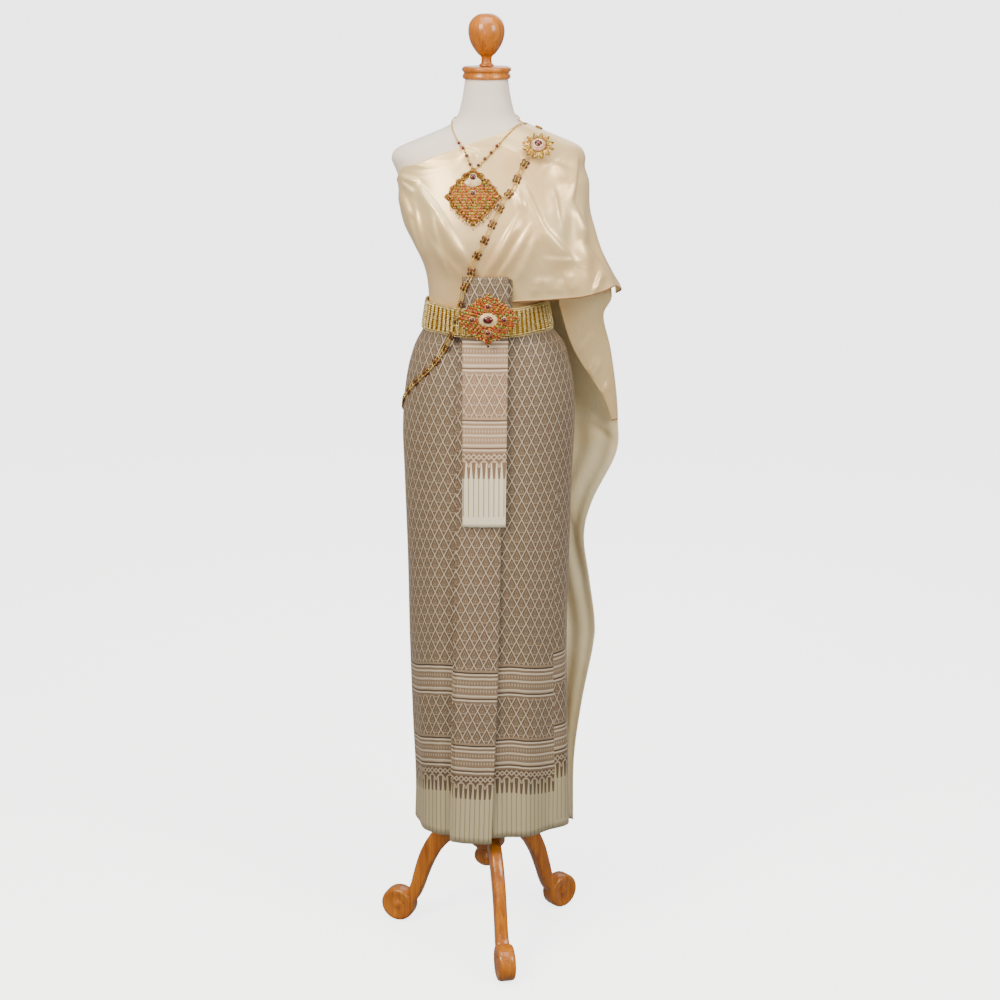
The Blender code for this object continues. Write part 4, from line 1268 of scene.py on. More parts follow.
@dataclass(frozen=True)
class Leg:
    """A curved leg of the tripod that ends in an upright round foot.

    The rows give distance from the pole, height, depth in the leg's plane and width across it.
    """

    node: str
    angle: float
    rows: tuple[tuple[float, ...], ...] = (
        (0.0346, 0.2300, 0.0480, 0.0258), (0.0600, 0.2250, 0.0440, 0.0256), (0.0860, 0.2090, 0.0400, 0.0254),
        (0.1100, 0.1820, 0.0370, 0.0252), (0.1290, 0.1470, 0.0340, 0.0250), (0.1430, 0.1080, 0.0300, 0.0250),
        (0.1530, 0.0760, 0.0270, 0.0256), (0.1640, 0.0560, 0.0280, 0.0270), (0.1800, 0.0420, 0.0300, 0.0280),
    )
    foot: tuple[float, float, float, float] = (0.1918, 0.0350, 0.0348, 0.0340)
    sides: int = 20

    def build(self) -> bpy.types.Object:
        """Sweep the leg with extrusions, and add its foot, a disc with eased edges and a raised boss.

        Returns:
            The finished object.
        """
        table = np.array(self.rows)
        at = np.linspace(0, len(table) - 1, 34)
        reach, z, depth, width = (smooth(range(len(table)), table[:, k], at) for k in range(4))
        ahead, rise = np.gradient(reach), np.gradient(z)
        length = np.hypot(ahead, rise)
        ahead, rise = ahead / length, rise / length
        ahead[0], rise[0] = 1.0, 0.0
        turn = math.radians(self.angle)
        work = bmesh.new()
        start = bmesh.ops.create_circle(work, cap_ends=True, segments=self.sides, radius=1.0)["verts"]
        shape = [(math.cos(a), math.sin(a)) for a in (math.atan2(v.co.y, v.co.x) for v in start)]
        corner = [(math.copysign(abs(c) ** 0.5, c), math.copysign(abs(s) ** 0.5, s)) for c, s in shape]
        loop = list(start)
        face = start[0].link_faces[0]
        for step in range(len(at)):
            if step:
                old = list(face.verts)
                order = [old.index(vert) for vert in loop]
                face = bmesh.ops.extrude_discrete_faces(work, faces=[face])["faces"][0]
                fresh = list(face.verts)
                loop = [fresh[index] for index in order]
            for vert, (c, s) in zip(loop, corner):
                side, up = c * width[step] / 2, s * depth[step] / 2
                far, tall = reach[step] - rise[step] * up, z[step] + ahead[step] * up
                vert.co = self.spot(far, tall, side, turn)
        self.add_foot(work, turn)
        bmesh.ops.recalc_face_normals(work, faces=work.faces)
        return enlist(finished(self.node.replace("stand", "curved"), work), [WOOD], [self.node])

    def spot(self, far: float, tall: float, side: float, turn: float) -> Vector:
        """A point by its distance from the pole, height and place across the leg.

        Args:
            far: distance from the pole.
            tall: height.
            side: distance across the leg.
            turn: direction of the leg in radians.

        Returns:
            The point.
        """
        return Vector(
            (
                POLE.x + far * math.cos(turn) - side * math.sin(turn),
                POLE.y + far * math.sin(turn) + side * math.cos(turn),
                tall,
            )
        )

    def add_foot(self, work: bmesh.types.BMesh, turn: float) -> None:
        """Spin the foot's profile about a level line across the leg.

        Args:
            work: the bmesh that it is added to.
            turn: direction of the leg in radians.
        """
        far, tall, radius, width = self.foot
        half = width / 2
        profile = (
            (0.0, half - 0.001), (0.006, half - 0.001), (0.0085, half - 0.0035), (0.012, half - 0.004),
            (0.018, half - 0.003), (0.024, half - 0.0012), (0.029, half), (0.032, half - 0.0012),
            (0.034, half - 0.0040), (radius, half - 0.0080), (radius, 0.0),
        )
        both = profile + tuple((r, -h) for r, h in profile[-2::-1])
        verts = [work.verts.new(self.spot(far + r, tall, h, turn)) for r, h in both]
        edges = [work.edges.new(pair) for pair in zip(verts, verts[1:])]
        axis = self.spot(0.0, 0.0, 1.0, turn) - self.spot(0.0, 0.0, 0.0, turn)
        centre = self.spot(far, tall, 0.0, turn)
        spun = {"axis": axis, "cent": centre, "angle": 2 * math.pi, "steps": 40, "use_merge": True}
        bmesh.ops.spin(work, geom=verts + edges, **spun)
        bmesh.ops.remove_doubles(work, verts=work.verts, dist=1e-6)


# ---------------------------------------------------------------- the shawl


@dataclass(frozen=True)
class Fold:
    """A soft fold seen from the front: its two ends by x and height, its width and how far it stands out."""

    low: tuple[float, float]
    high: tuple[float, float]
    width: float = 0.009
    height: float = 0.003


FOLDS = (
    Fold((-0.154, 1.515), (-0.12, 1.506), 0.006, 0.003),
    Fold((-0.151, 1.505), (-0.125, 1.486), 0.006, 0.003),
    Fold((-0.151, 1.485), (-0.129, 1.443), 0.007, 0.003),
    Fold((-0.123, 1.504), (-0.084, 1.455), 0.008, 0.0038),
    Fold((-0.09, 1.466), (-0.03, 1.366), 0.009, 0.0048),
    Fold((-0.128, 1.468), (-0.098, 1.35), 0.007, 0.0034),
    Fold((-0.096, 1.455), (-0.069, 1.345), 0.007, 0.0034),
    Fold((-0.14, 1.46), (-0.107, 1.364), 0.006, 0.0026),
    Fold((-0.006, 1.34), (0.058, 1.452), 0.009, 0.005), Fold((0.02, 1.34), (0.08, 1.438), 0.008, 0.0046),
    Fold((0.052, 1.335), (0.09, 1.425), 0.008, 0.0042),
    Fold((0.052, 1.502), (0.069, 1.456), 0.007, 0.0034),
    Fold((0.064, 1.506), (0.104, 1.424), 0.009, 0.0044), Fold((0.092, 1.44), (0.152, 1.37), 0.01, 0.0044),
    Fold((0.162, 1.55), (0.151, 1.47), 0.006, 0.003), Fold((0.151, 1.471), (0.182, 1.404), 0.007, 0.004),
    Fold((0.1, 1.376), (0.166, 1.369), 0.01, 0.002), Fold((0.084, 1.31), (0.092, 1.344), 0.006, 0.003),
    Fold((0.112, 1.311), (0.106, 1.342), 0.006, 0.003), Fold((0.152, 1.311), (0.14, 1.353), 0.007, 0.0034),
    Fold((0.192, 1.312), (0.203, 1.346), 0.006, 0.003), Fold((0.126, 1.31), (0.131, 1.338), 0.005, 0.0024),
    Fold((0.031, 1.567), (0.146, 1.526), 0.007, 0.003), Fold((0.09, 1.52), (0.15, 1.552), 0.01, 0.0018),
    Fold((-0.046, 1.565), (-0.013, 1.554), 0.008, 0.0034),
    Fold((-0.11, 1.42), (-0.03, 1.33), 0.01, 0.0022), Fold((0.118, 1.5), (0.128, 1.44), 0.008, 0.0028),
    Fold((0.17, 1.4), (0.222, 1.33), 0.008, 0.0034),
)
TAIL_FOLDS = (
    Fold((0.195, 1.027), (0.247, 0.992), 0.008, 0.0030), Fold((0.150, 1.240), (0.215, 1.060), 0.012, 0.0030),
    Fold((0.120, 0.980), (0.190, 0.700), 0.014, 0.0040), Fold((0.090, 1.150), (0.140, 0.850), 0.014, 0.0040),
    Fold((-0.020, 0.100), (0.010, 1.250), 0.014, 0.0070), Fold((0.035, 0.060), (0.060, 1.200), 0.013, 0.0075),
    Fold((0.085, 0.060), (0.110, 1.050), 0.014, 0.0080),
)


def lifted(grid: Array, folds: Sequence[Fold]) -> Array:
    """How far the folds lift each point in the front view: steep on one side, broad on the other.

    Args:
        grid: points in rows and columns.
        folds: the folds to add up.

    Returns:
        One height in metres for each point.
    """
    lift = np.zeros(grid.shape[:2])
    x, z = grid[..., 0], grid[..., 2]
    for fold in folds:
        start, end = np.array(fold.low), np.array(fold.high)
        way = end - start
        long = math.hypot(*way)
        share = ((x - start[0]) * way[0] + (z - start[1]) * way[1]) / long**2
        away = ((x - start[0]) * way[1] - (z - start[1]) * way[0]) / long
        width = fold.width * np.where(away > 0, 1.7, 0.55)
        along = ease(share, -0.12, 0.35) * ease(share, 1.12, 0.65)
        lift += fold.height * along * np.exp(-((away / width) ** 2))
    return lift


@dataclass
class Shawl:
    """The satin shawl: a first turn round the torso, a loose front, a fall behind and its turned border."""

    offset: float = CLEAR + SATIN / 2
    loose: float = CLEAR + SATIN / 2 + SATIN + 1.8 * CLEAR
    low: float = 1.2775
    wrap_low: float = 1.250
    shoulder: float = 1.546
    neckline: tuple[tuple[float, ...], ...] = (
        (-1.0, -0.95, -0.87, -0.68, -0.45, 0.0, 0.35, 0.6, 1.0),
        (1.503, 1.514, 1.528, 1.537, 1.552, 1.582, 1.592, 1.598, 1.600),
    )
    hem: tuple[tuple[float, ...], ...] = (
        (-18.0, 0.0, 18.0, 36.0, 54.0, 63.0, 72.0, 81.0, 171.0),
        (1.288, 1.302, 1.315, 1.310, 1.303, 1.298, 1.2925, 1.2775, 1.2775),
    )
    ridges: tuple[tuple[float, ...], ...] = (
        (68.0, 1.315, 46.0, 1.480, 0.022, 0.0050), (48.0, 1.310, 26.0, 1.470, 0.024, 0.0060),
        (22.0, 1.310, 8.0, 1.450, 0.024, 0.0050), (104.0, 1.350, 126.0, 1.490, 0.022, 0.0030),
    )
    # Height, outer edge by x and y, inner edge by x, and depth behind
    tail: tuple[tuple[float, ...], ...] = (
        (0.202, 0.1725, 0.098, -0.010, 0.142), (0.337, 0.1732, 0.100, -0.014, 0.142),
        (0.460, 0.1879, 0.100, -0.018, 0.142), (0.574, 0.2085, 0.100, -0.022, 0.142),
        (0.630, 0.2110, 0.100, -0.024, 0.142), (0.719, 0.1989, 0.100, -0.028, 0.142),
        (0.803, 0.1881, 0.100, -0.032, 0.142), (0.874, 0.2038, 0.100, -0.036, 0.142),
        (0.968, 0.2481, 0.100, -0.042, 0.142), (1.034, 0.2509, 0.098, -0.048, 0.140),
        (1.096, 0.2461, 0.092, -0.052, 0.136), (1.178, 0.2334, 0.078, -0.050, 0.128),
        (1.245, 0.2180, 0.052, -0.043, 0.120), (1.285, 0.2320, 0.034, -0.039, 0.114),
    )
    # Height and the inner edge's x and y of the border turned forward
    border: tuple[tuple[float, ...], ...] = (
        (1.036, 0.2380, 0.0860), (1.060, 0.2310, 0.0780), (1.195, 0.1560, 0.0400), (1.272, 0.1320, 0.0300),
    )

    def heights(self, low: Array, angles: Array, below: int, above: int) -> Array:
        """Row heights from the lower edge to the neckline that share out the body's side profile.

        Args:
            low: height of the lower edge at each angle.
            angles: angle of each column in radians.
            below: rows below the shoulder.
            above: rows from there to the neckline.

        Returns:
            One height for each row and column.
        """
        table = np.array(BODY.rows)
        run = np.concatenate([[0.0], np.hypot(np.diff(table[:, 0]), np.diff(table[:, 2])).cumsum()])
        top = smooth(*self.neckline, np.cos(angles))
        middle = np.minimum(self.shoulder, top - 0.035)
        parts = []
        for start, end, rows in ((low, middle, below), (middle, top, above)):
            first, last = (np.interp(z, table[:, 0], run) for z in (start, end))
            shares = np.linspace(0.0, 1.0, rows)[:, None]
            parts.append(np.interp(first + shares * (last - first), run, table[:, 0]))
        return np.concatenate([parts[0], parts[1][1:]])

    def loose_surface(self, heights: Array, angles: Array) -> Array:
        """Points of the loose shawl: close over chest and shoulder, free at the wearer's left.

        Args:
            heights: heights in metres.
            angles: angles in radians.

        Returns:
            One point for each pair.
        """
        close = BODY.points(heights, angles)
        close = close + normals(close) * self.loose
        hanging = HANG.points(heights, angles)
        turn = np.degrees(angles)
        free = ease(heights, 1.552, 1.500) * ease(turn, 76.0, 50.0) * ease(turn, -150.0, -105.0)
        grid = close + (hanging - close) * free[..., None]
        lift = np.zeros(grid.shape[:2])
        for low, low_z, high, high_z, width, height in self.ridges:
            share = (grid[..., 2] - low_z) / (high_z - low_z)
            away = np.radians(turn - low - share * (high - low)) * np.hypot(grid[..., 0], grid[..., 1])
            along = ease(share, -0.15, 0.2) * ease(share, 1.15, 0.7)
            lift += height * np.exp(-((away / width) ** 2)) * along
        return grid + normals(grid) * lift[..., None]

    def wrap(self) -> bpy.types.Object:
        """The first turn, flat on the torso.

        Returns:
            The finished object.
        """
        angles = np.linspace(0, 2 * math.pi, 161)
        heights = self.heights(np.full(161, self.low), angles, 50, 12)
        heights = np.concatenate([np.linspace(self.wrap_low, self.low, 6)[:-1, None] + 0 * angles, heights])
        grid = BODY.points(heights, np.broadcast_to(angles, heights.shape))
        grid = grid + normals(grid, True) * self.offset
        piece = cloth_mesh("sabai_first_turn", grid, threads_of(grid), closed=True)
        enlist(piece, [CREAM_SATIN, SATIN_REVERSE], ["sabai_chest_wrap"], SATIN)
        return piece

    def drape(self) -> bpy.types.Object:
        """The loose front, from the right side across the chest and over the left shoulder.

        Returns:
            The finished object.
        """
        angles = np.radians(np.linspace(-18.0, 171.0, 211))
        low = smooth(*self.hem, np.degrees(angles))
        heights = self.heights(low, angles, 96, 26)
        grid = self.loose_surface(heights, np.broadcast_to(angles, heights.shape))
        clear = np.ones(heights.shape)
        for x, z, reach in ((-0.0235, 1.4835, 0.050), (0.0916, 1.5690, 0.030)):
            clear *= ease(np.hypot(grid[..., 0] - x, grid[..., 2] - z), 0.8 * reach, 1.35 * reach)
        lift = 1.5 * lifted(grid, FOLDS) * clear * ease(grid[..., 1], 0.02, -0.01)
        grid = grid + normals(grid) * lift[..., None]
        piece = cloth_mesh("sabai_front_folds", grid, threads_of(grid))
        enlist(piece, [CREAM_SATIN, SATIN_REVERSE], ["sabai_front_drape"], SATIN)
        return piece

    def tail_at(self, column: int, heights: Array) -> Array:
        """One column of the tail's table at these heights."""
        table = np.array(self.tail)
        return smooth(table[:, 0], table[:, column], heights)

    def fall(self) -> bpy.types.Object:
        """The end that falls behind, from the shoulder to just above the floor.

        Returns:
            The finished object.
        """
        turns = np.append(np.arange(-108.0, -19.4, 9.0), -18.4)
        angles, shares = np.radians(turns), np.linspace(1.0, 0.0, len(turns))
        levels = np.array([row[0] for row in self.tail])[:, None] + 0 * shares
        outer, outer_y, inner, back = (self.tail_at(k, levels) for k in (1, 2, 3, 4))
        x = outer + shares * (inner - outer)
        y = outer_y + ease(shares, 0.0, 0.45) * (back - outer_y)
        swell = ease(levels, 1.150, 0.800)
        y = y + 0.009 * swell * (0.5 - 0.5 * np.cos(shares * 3.5 * 2 * math.pi))
        low = np.stack([x + 0 * levels, y, levels], axis=-1)
        heights = self.heights(np.full(len(turns), self.low), angles, 10, 5)[2:]
        high = self.loose_surface(heights, np.broadcast_to(angles, heights.shape))
        grid = refined(np.concatenate([low, high]), 260, 110)
        across = np.linspace(1.0, 0.0, 110)[None, :]
        ripple = 0.0022 * np.sin(across * 39.0 + 2.2 * np.sin(grid[..., 2] * 5.0))
        ripple = ripple * ease(grid[..., 2], 1.15, 0.95)
        lift = lifted(grid, TAIL_FOLDS) * ease(grid[..., 2], 1.32, 1.06) + ripple * ease(across, 0.0, 0.08)
        grid = grid + normals(grid) * lift[..., None]
        piece = cloth_mesh("sabai_tail", grid, threads_of(grid))
        enlist(piece, [CREAM_SATIN, SATIN_REVERSE], ["sabai_back_fall"], SATIN)
        return piece

    def turnback(self) -> bpy.types.Object:
        """The outer border of the fall, turned forward beside the hip so that its shiny face shows.

        Returns:
            The finished object.
        """
        table = np.array(self.border)
        levels, shares = np.linspace(1.036, 1.300, 78), np.linspace(0.0, 1.0, 36)
        rows = []
        for z in levels:
            outer = np.array([self.tail_at(1, z) - 0.0015, self.tail_at(2, z) - 0.0015, z])
            inner = np.array([smooth(table[:, 0], table[:, 1], z), smooth(table[:, 0], table[:, 2], z), z])
            bow = np.array([[0.04, -0.10, 0.0]]) * np.linalg.norm(outer - inner)
            rows.append(outer + shares[:, None] * (inner - outer) + np.sin(shares * math.pi)[:, None] * bow)
        grid = np.array(rows)
        folds = (
            Fold((0.187, 1.109), (0.215, 1.163), 0.005, 0.0026),
            Fold((0.182, 1.124), (0.206, 1.166), 0.005, 0.0024),
            Fold((0.205, 1.075), (0.232, 1.12), 0.006, 0.0024),
            Fold((0.17, 1.175), (0.196, 1.215), 0.006, 0.002),
        )
        edge = ease(shares, 0.0, 0.12) * ease(shares, 1.0, 0.88)
        grid = grid + normals(grid)[:, ::1] * (lifted(grid, folds) * edge[None, :])[..., None]
        piece = cloth_mesh("sabai_border_turned", grid, threads_of(grid))
        enlist(piece, [CREAM_SATIN, SATIN_REVERSE], ["sabai_turnback"], SATIN)
        return piece

    def build(self) -> list[bpy.types.Object]:
        """All four stretches."""
        return [self.wrap(), self.drape(), self.fall(), self.turnback()]


# ---------------------------------------------------------------- the skirt


def skirt_face(x: Array, z: Array) -> Array:
    """Depth of the skirt's outer face at the front.

    Args:
        x: places across.
        z: heights.

    Returns:
        One depth for each place.
    """
    table = np.array(SKIRT.rows)
    right, left, front = (smooth(table[:, 0], table[:, k], z) for k in (1, 2, 3))
    inside = np.maximum(0.0, 1 - (np.abs(x) / np.where(x > 0, left, right)) ** SKIRT.fullness)
    return -front * inside ** (1 / SKIRT.fullness) - BROCADE / 2


@dataclass
class Skirt:
    """The brocade tube with its soft flutes, the stacked pleats in front and their folded-over top."""

    # Angle, width in degrees, how far it stands out at the hem, and where it dies away
    flutes: tuple[tuple[float, ...], ...] = (
        (24.0, 9.0, 0.009, 0.9), (44.0, 8.0, -0.004, 0.8), (142.0, 9.0, 0.006, 0.75),
        (163.0, 9.0, -0.004, 0.9), (64.0, 7.0, 0.0045, 1.15), (78.0, 6.0, -0.003, 1.15),
        (129.0, 7.0, 0.0045, 1.15), (115.0, 5.0, -0.003, 1.15), (-40.0, 12.0, 0.005, 0.9),
        (-95.0, 14.0, 0.005, 0.8), (-140.0, 12.0, 0.005, 0.9),
    )
    leaves: int = 4
    leaf: float = 0.0010
    pitch: tuple[float, float] = (0.0024, 0.0015)
    # Height and the panel's two edges
    panel: tuple[tuple[float, ...], ...] = (
        (0.254, -0.0715, 0.0068), (0.6, -0.064, 0.02), (0.88, -0.0563, 0.0258), (1.16, -0.053, 0.032),
        (1.262, -0.046, 0.036),
    )
    flap_thick: float = 0.0020
    flap_hem: float = 0.8845
    flap_top: float = 1.343
    flap_inner: float = 1.240

    def tube(self) -> bpy.types.Object:
        """The tube from waist to hem, its cross bands tilted where the side is folded under.

        Returns:
            The finished object.
        """
        turns = np.sort(np.append(np.linspace(-90.0, 270.0, 217), [36.45, 36.55]))
        heights = np.concatenate([np.linspace(0.262, 1.16, 66), np.linspace(1.16, 1.272, 15)[1:]])[:, None]
        z, angles = np.broadcast_arrays(heights, np.radians(turns)[None, :])
        grid = SKIRT.points(z, angles)
        lift = np.zeros(z.shape)
        for angle, width, hem, top in self.flutes:
            away = (turns - angle + 180.0) % 360.0 - 180.0
            lift += hem * ease(z, top, 0.262) * np.exp(-((away / width) ** 2))
        grid = grid + normals(grid, True) * lift[..., None]
        threads = threads_of(grid, int(np.argmin(abs(turns - 90.0))))
        right, left = threads[..., 0], -threads[..., 0]
        drop = 0.022 * ease(right, 0.08, 0.20) + 0.014 * ease(left, 0.04, 0.14)
        drop = drop - 0.026 * (turns < 36.5) * (turns > -60.0)
        threads[..., 1] = z - 0.262 + drop * ease(z, 1.05, 0.70)
        piece = cloth_mesh("skirt_brocade_tube", grid, threads, closed=True)
        enlist(piece, [SKIRT_CLOTH], ["skirt_tube"], BROCADE)
        return piece

    def pleats(self) -> bpy.types.Object:
        """The stack of pleats: one strip folded to and fro.

        Returns:
            The finished object.
        """
        x, depth = [], []
        for leaf in range(self.leaves):
            across = np.linspace(0.03, 0.97, 12)
            x += list(across if leaf % 2 == 0 else across[::-1])
            depth += [float(leaf)] * 12
            if leaf < self.leaves - 1:
                bend = np.linspace(0, math.pi, 7)[1:-1]
                x += list(0.97 + 0.03 * np.sin(bend) if leaf % 2 == 0 else 0.03 - 0.03 * np.sin(bend))
                depth += list(leaf + 0.5 - 0.5 * np.cos(bend))
        table = np.array(self.panel)
        z = np.linspace(table[0, 0], table[-1, 0], 70)[:, None]
        left, right = (smooth(table[:, 0], table[:, k], z) for k in (1, 2))
        pitch = (
            self.pitch[0]
            + (self.pitch[1] - self.pitch[0]) * (z - table[0, 0]) / (table[-1, 0] - table[0, 0])
        )
        across = left + np.array([x]) * (right - left)
        out = np.array([depth]) * pitch + 2.5 * CLEAR + self.leaf / 2
        # The stacked leaves step back a little, so that their edges show one behind the other
        back = (self.leaves - 1 - np.array([depth])) * 0.0004 * (1 - (z - 0.254))
        across = across - back * (np.array([x]) < 0.5) + 0.4 * back * (np.array([x]) > 0.5)
        ripple = 0.0009 * np.sin(np.array([x]) * 7.0 + z * 9.0) * ease(z, 1.0, 0.5)
        ripple = ripple * (np.array([depth]) > 2.5)
        grid = np.stack(np.broadcast_arrays(across, skirt_face(across, z) - out - np.abs(ripple), z), axis=-1)
        threads = threads_of(grid, grid.shape[1] - 6)
        threads[..., 1] = z - table[0, 0]
        piece = cloth_mesh("skirt_pleat_leaves", grid, threads)
        enlist(piece, [PANEL_CLOTH], ["skirt_front_pleats"], self.leaf)
        return piece

    def flap(self) -> bpy.types.Object:
        """The upper end of the pleats, up behind the belt, over the top and down in front.

        Returns:
            The finished object.
        """
        stack = CLEAR * 3.5 + self.leaf + (self.leaves - 1) * self.pitch[0] + self.flap_thick
        line = []
        for z in np.linspace(self.flap_hem, self.flap_top - 0.006, 60):
            resting = float(-skirt_face(np.array(0.0), np.array(min(z, 1.272)))) + stack
            line.append((z, max(resting, 0.1190 + 0.0010 * float(ease(z, 1.262, 1.280)))))
        top_out, top_in = line[-1][1], 0.1148
        for turn in np.linspace(0, math.pi, 9)[1:-1]:
            middle, half = (top_out + top_in) / 2, (top_out - top_in) / 2
            line.append((self.flap_top - 0.006 + 0.0048 * math.sin(turn), middle + half * math.cos(turn)))
        for z in np.linspace(self.flap_top - 0.006, self.flap_inner, 14):
            line.append((z, np.interp(z, [self.flap_inner, self.flap_top], [0.1092, 0.1148])))
        z, depth = (np.array([row[k] for row in line])[:, None] for k in (0, 1))
        shares = np.linspace(1.0, 0.0, 30)[None, :]
        low = np.interp(z, [self.flap_hem, self.flap_top], (-0.0445, -0.043))
        high = np.interp(z, [self.flap_hem, self.flap_top], (0.0342, 0.04))
        behind = np.arange(len(z))[:, None] > 66
        x = low + shares * (high - low + 0.0065 * behind)
        level = np.minimum(z, 1.272)
        curve = skirt_face(x, level) - skirt_face(0 * x, level)
        ripple = 0.0007 * np.sin(shares * 9.0 + z * 11.0) * ease(z, 1.2, 1.0)
        grid = np.stack(np.broadcast_arrays(x, curve - depth - np.abs(ripple), z), axis=-1)
        threads = threads_of(grid, 15)
        piece = cloth_mesh("skirt_pleat_flap", grid, threads)
        # Above the belt the flap takes the darker skirt brocade: painted shade over the fold's top, partly
        # also the darker turned-over back of the cloth.
        for face in piece.data.polygons:
            face.material_index = int(face.center.z > 1.268)
        enlist(
            piece,
            [FLAP_CLOTH_PAINTED_LIGHT, SKIRT_CLOTH],
            ["skirt_top_flap"],
            self.flap_thick * 0.9,
            turned=False,
        )
        return piece

    def build(self) -> list[bpy.types.Object]:
        """The tube, the pleats and the flap."""
        return [self.tube(), self.pleats(), self.flap()]


# ---------------------------------------------------------------- the jewellery

METALS = (GOLD, PALE_GOLD, CHARCOAL_WIRE, OLD_GOLD)
STONES = (GARNET, CORAL, PINK, OLIVE, AMBER, ENAMEL, ROSE, WINE)


@dataclass
class Belt:
    """Columns of linked gilt beads over a fine mesh band, with bright bead lines along both edges."""

    rows: tuple[tuple[float, ...], ...] = (
        (1.2350, 0.1168, 0.1188, 0.1030, 0.0920), (1.2870, 0.1088, 0.1088, 0.1010, 0.0836),
    )
    columns: int = 56
    beads: int = 12
    out: float = 0.0208
    flat: tuple[float, float] = (0.088, 0.048)
    size: tuple[float, float, float] = (0.0016, 0.0021, 0.0020)

    def ring(self, z: float, extra: float, count: int) -> tuple[Array, Array]:
        """Evenly spaced points round the belt at one height, and their outward directions.

        Args:
            z: height.
            extra: distance out from the belt.
            count: number of points.

        Returns:
            The points and one unit vector for each.
        """
        turns = np.linspace(0, 2 * math.pi, 721)[:-1] + math.pi / 2
        line = Outlines(self.rows).points(np.full(720, z), turns)
        away = line[:, :2] / np.linalg.norm(line[:, :2], axis=1)[:, None]
        push = ease(np.abs(line[:, 0]), *self.flat) * (line[:, 1] < 0)
        line[:, 1] -= self.out * push
        line[:, :2] += away * extra
        closed = respaced(np.concatenate([line, line[:1]]), 0.0005)
        picks = np.linspace(0, len(closed) - 1, count + 1)[:-1].round().astype(int)
        ahead = np.roll(closed, -2, 0) - np.roll(closed, 2, 0)
        out = np.column_stack([ahead[:, 1], -ahead[:, 0], 0 * ahead[:, 0]])
        out /= np.maximum(np.linalg.norm(out, axis=1)[:, None], 1e-12)
        out *= np.where((out * closed).sum(axis=1) < 0, -1.0, 1.0)[:, None]
        return closed[picks], out[picks]

    def band(self) -> bpy.types.Object:
        """The fine mesh band behind the beads.

        Returns:
            The finished object.
        """
        levels = np.linspace(1.2350, 1.2870, 9)
        grid = np.array(
            [np.vstack([line, line[:1]]) for line in (self.ring(z, 0.0012, 200)[0] for z in levels)]
        )
        piece = cloth_mesh("belt_mesh_band", grid, threads_of(grid), closed=True)
        return enlist(piece, [OLD_GOLD], ["belt_band"], 0.0009)

    def links(self) -> bpy.types.Object:
        """The beads, their small links, and the bead lines along the edges.

        Returns:
            The finished object.
        """
        jewel = Jewel("belt_links", METALS)
        low, high = self.rows[0][0] + 0.0055, self.rows[1][0] - 0.0055
        for row, z in enumerate(np.linspace(low, high, self.beads)):
            points, outs = self.ring(z, 0.0034, 4 * self.columns)
            for index, (point, out) in enumerate(zip(points, outs)):
                seat = self.seat(point, out)
                if index % 4 in (0, 1):
                    jewel.bead(PALE_GOLD, seat, self.size)
                elif index % 4 == 2 and row % 2 == 0:
                    jewel.bead(OLD_GOLD, seat, (0.0040, 0.0010, 0.0010))
        for z in (1.2362, 1.2392, 1.2832, 1.2862):
            for point, out in zip(*self.ring(z, 0.0032, 250)):
                jewel.bead(PALE_GOLD, self.seat(point, out), (0.0011, 0.0013, 0.0013))
        return jewel.done(Slot.GOLD, ["belt_band"])

    def seat(self, point: Array, out: Array) -> Matrix:
        """Where a bead goes: its own Z outward and its own Y up.

        Args:
            point: middle of the bead.
            out: direction away from the body.

        Returns:
            The place with its own axes.
        """
        outward = Vector(out)
        side = Vector((0, 0, 1)).cross(outward).normalized()
        turn = Matrix((side, Vector((0, 0, 1)), outward)).transposed().to_4x4()
        return Matrix.Translation(Vector(point + AXIS)) @ turn

    def build(self) -> list[bpy.types.Object]:
        """The band and the links."""
        return [self.band(), self.links()]


@dataclass
class Medallion:
    """A jewel on a stepped gilt plate that leans back with the cloth behind it."""

    node: str
    name: str
    centre: tuple[float, float]
    reach: tuple[float, float]
    tilt: float
    behind: float

    def seat(self) -> Seat:
        """Its own plane, set against the node's back.

        Returns:
            The place with its own axes.
        """
        lean = math.radians(self.tilt)
        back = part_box(self.node)[1][1] - self.behind
        return Seat(
            Vector((POLE.x + self.centre[0], back, self.centre[1])),
            Vector((1, 0, 0)),
            Vector((0, math.sin(lean), math.cos(lean))),
            Vector((0, -math.cos(lean), math.sin(lean))),
        )

    def rows_of(
        self,
        jewel: Jewel,
        seat: Seat,
        share: float,
        count: int,
        size: float,
        height: float,
        kinds: Sequence[Finish],
        start: float = 0.0,
    ) -> None:
        """A ring of small stones with gold grains between them.

        Args:
            jewel: what they belong to.
            seat: its plane.
            share: how far out they lie.
            count: how many.
            size: a stone's radius.
            height: their height over the seat.
            kinds: the stones' finishes in turn.
            start: where the ring starts, as a share of one step.
        """
        edge = [rhombus(self.reach)(a) for a in np.linspace(0, 2 * math.pi, 361)]
        closed = np.array([(u * share, v * share, 0.0) for u, v in edge])
        for _ in range(40):
            closed[1:-1] = (closed[:-2] + 2 * closed[1:-1] + closed[2:]) / 4
        even = respaced(closed, 0.0002)
        for k in range(count):
            u, v, _ = even[int((k + start) % count / count * (len(even) - 1))]
            turn = math.atan2(v, u)
            place = seat.matrix(u, v, height, turn)
            jewel.stone(kinds[k % len(kinds)], place, (size * 1.15, size, size * 0.75), OLD_GOLD)
            u, v, _ = even[int((k + start + 0.5) % count / count * (len(even) - 1))]
            jewel.bead(GOLD, seat.matrix(u, v, height), (size * 0.34,) * 3)


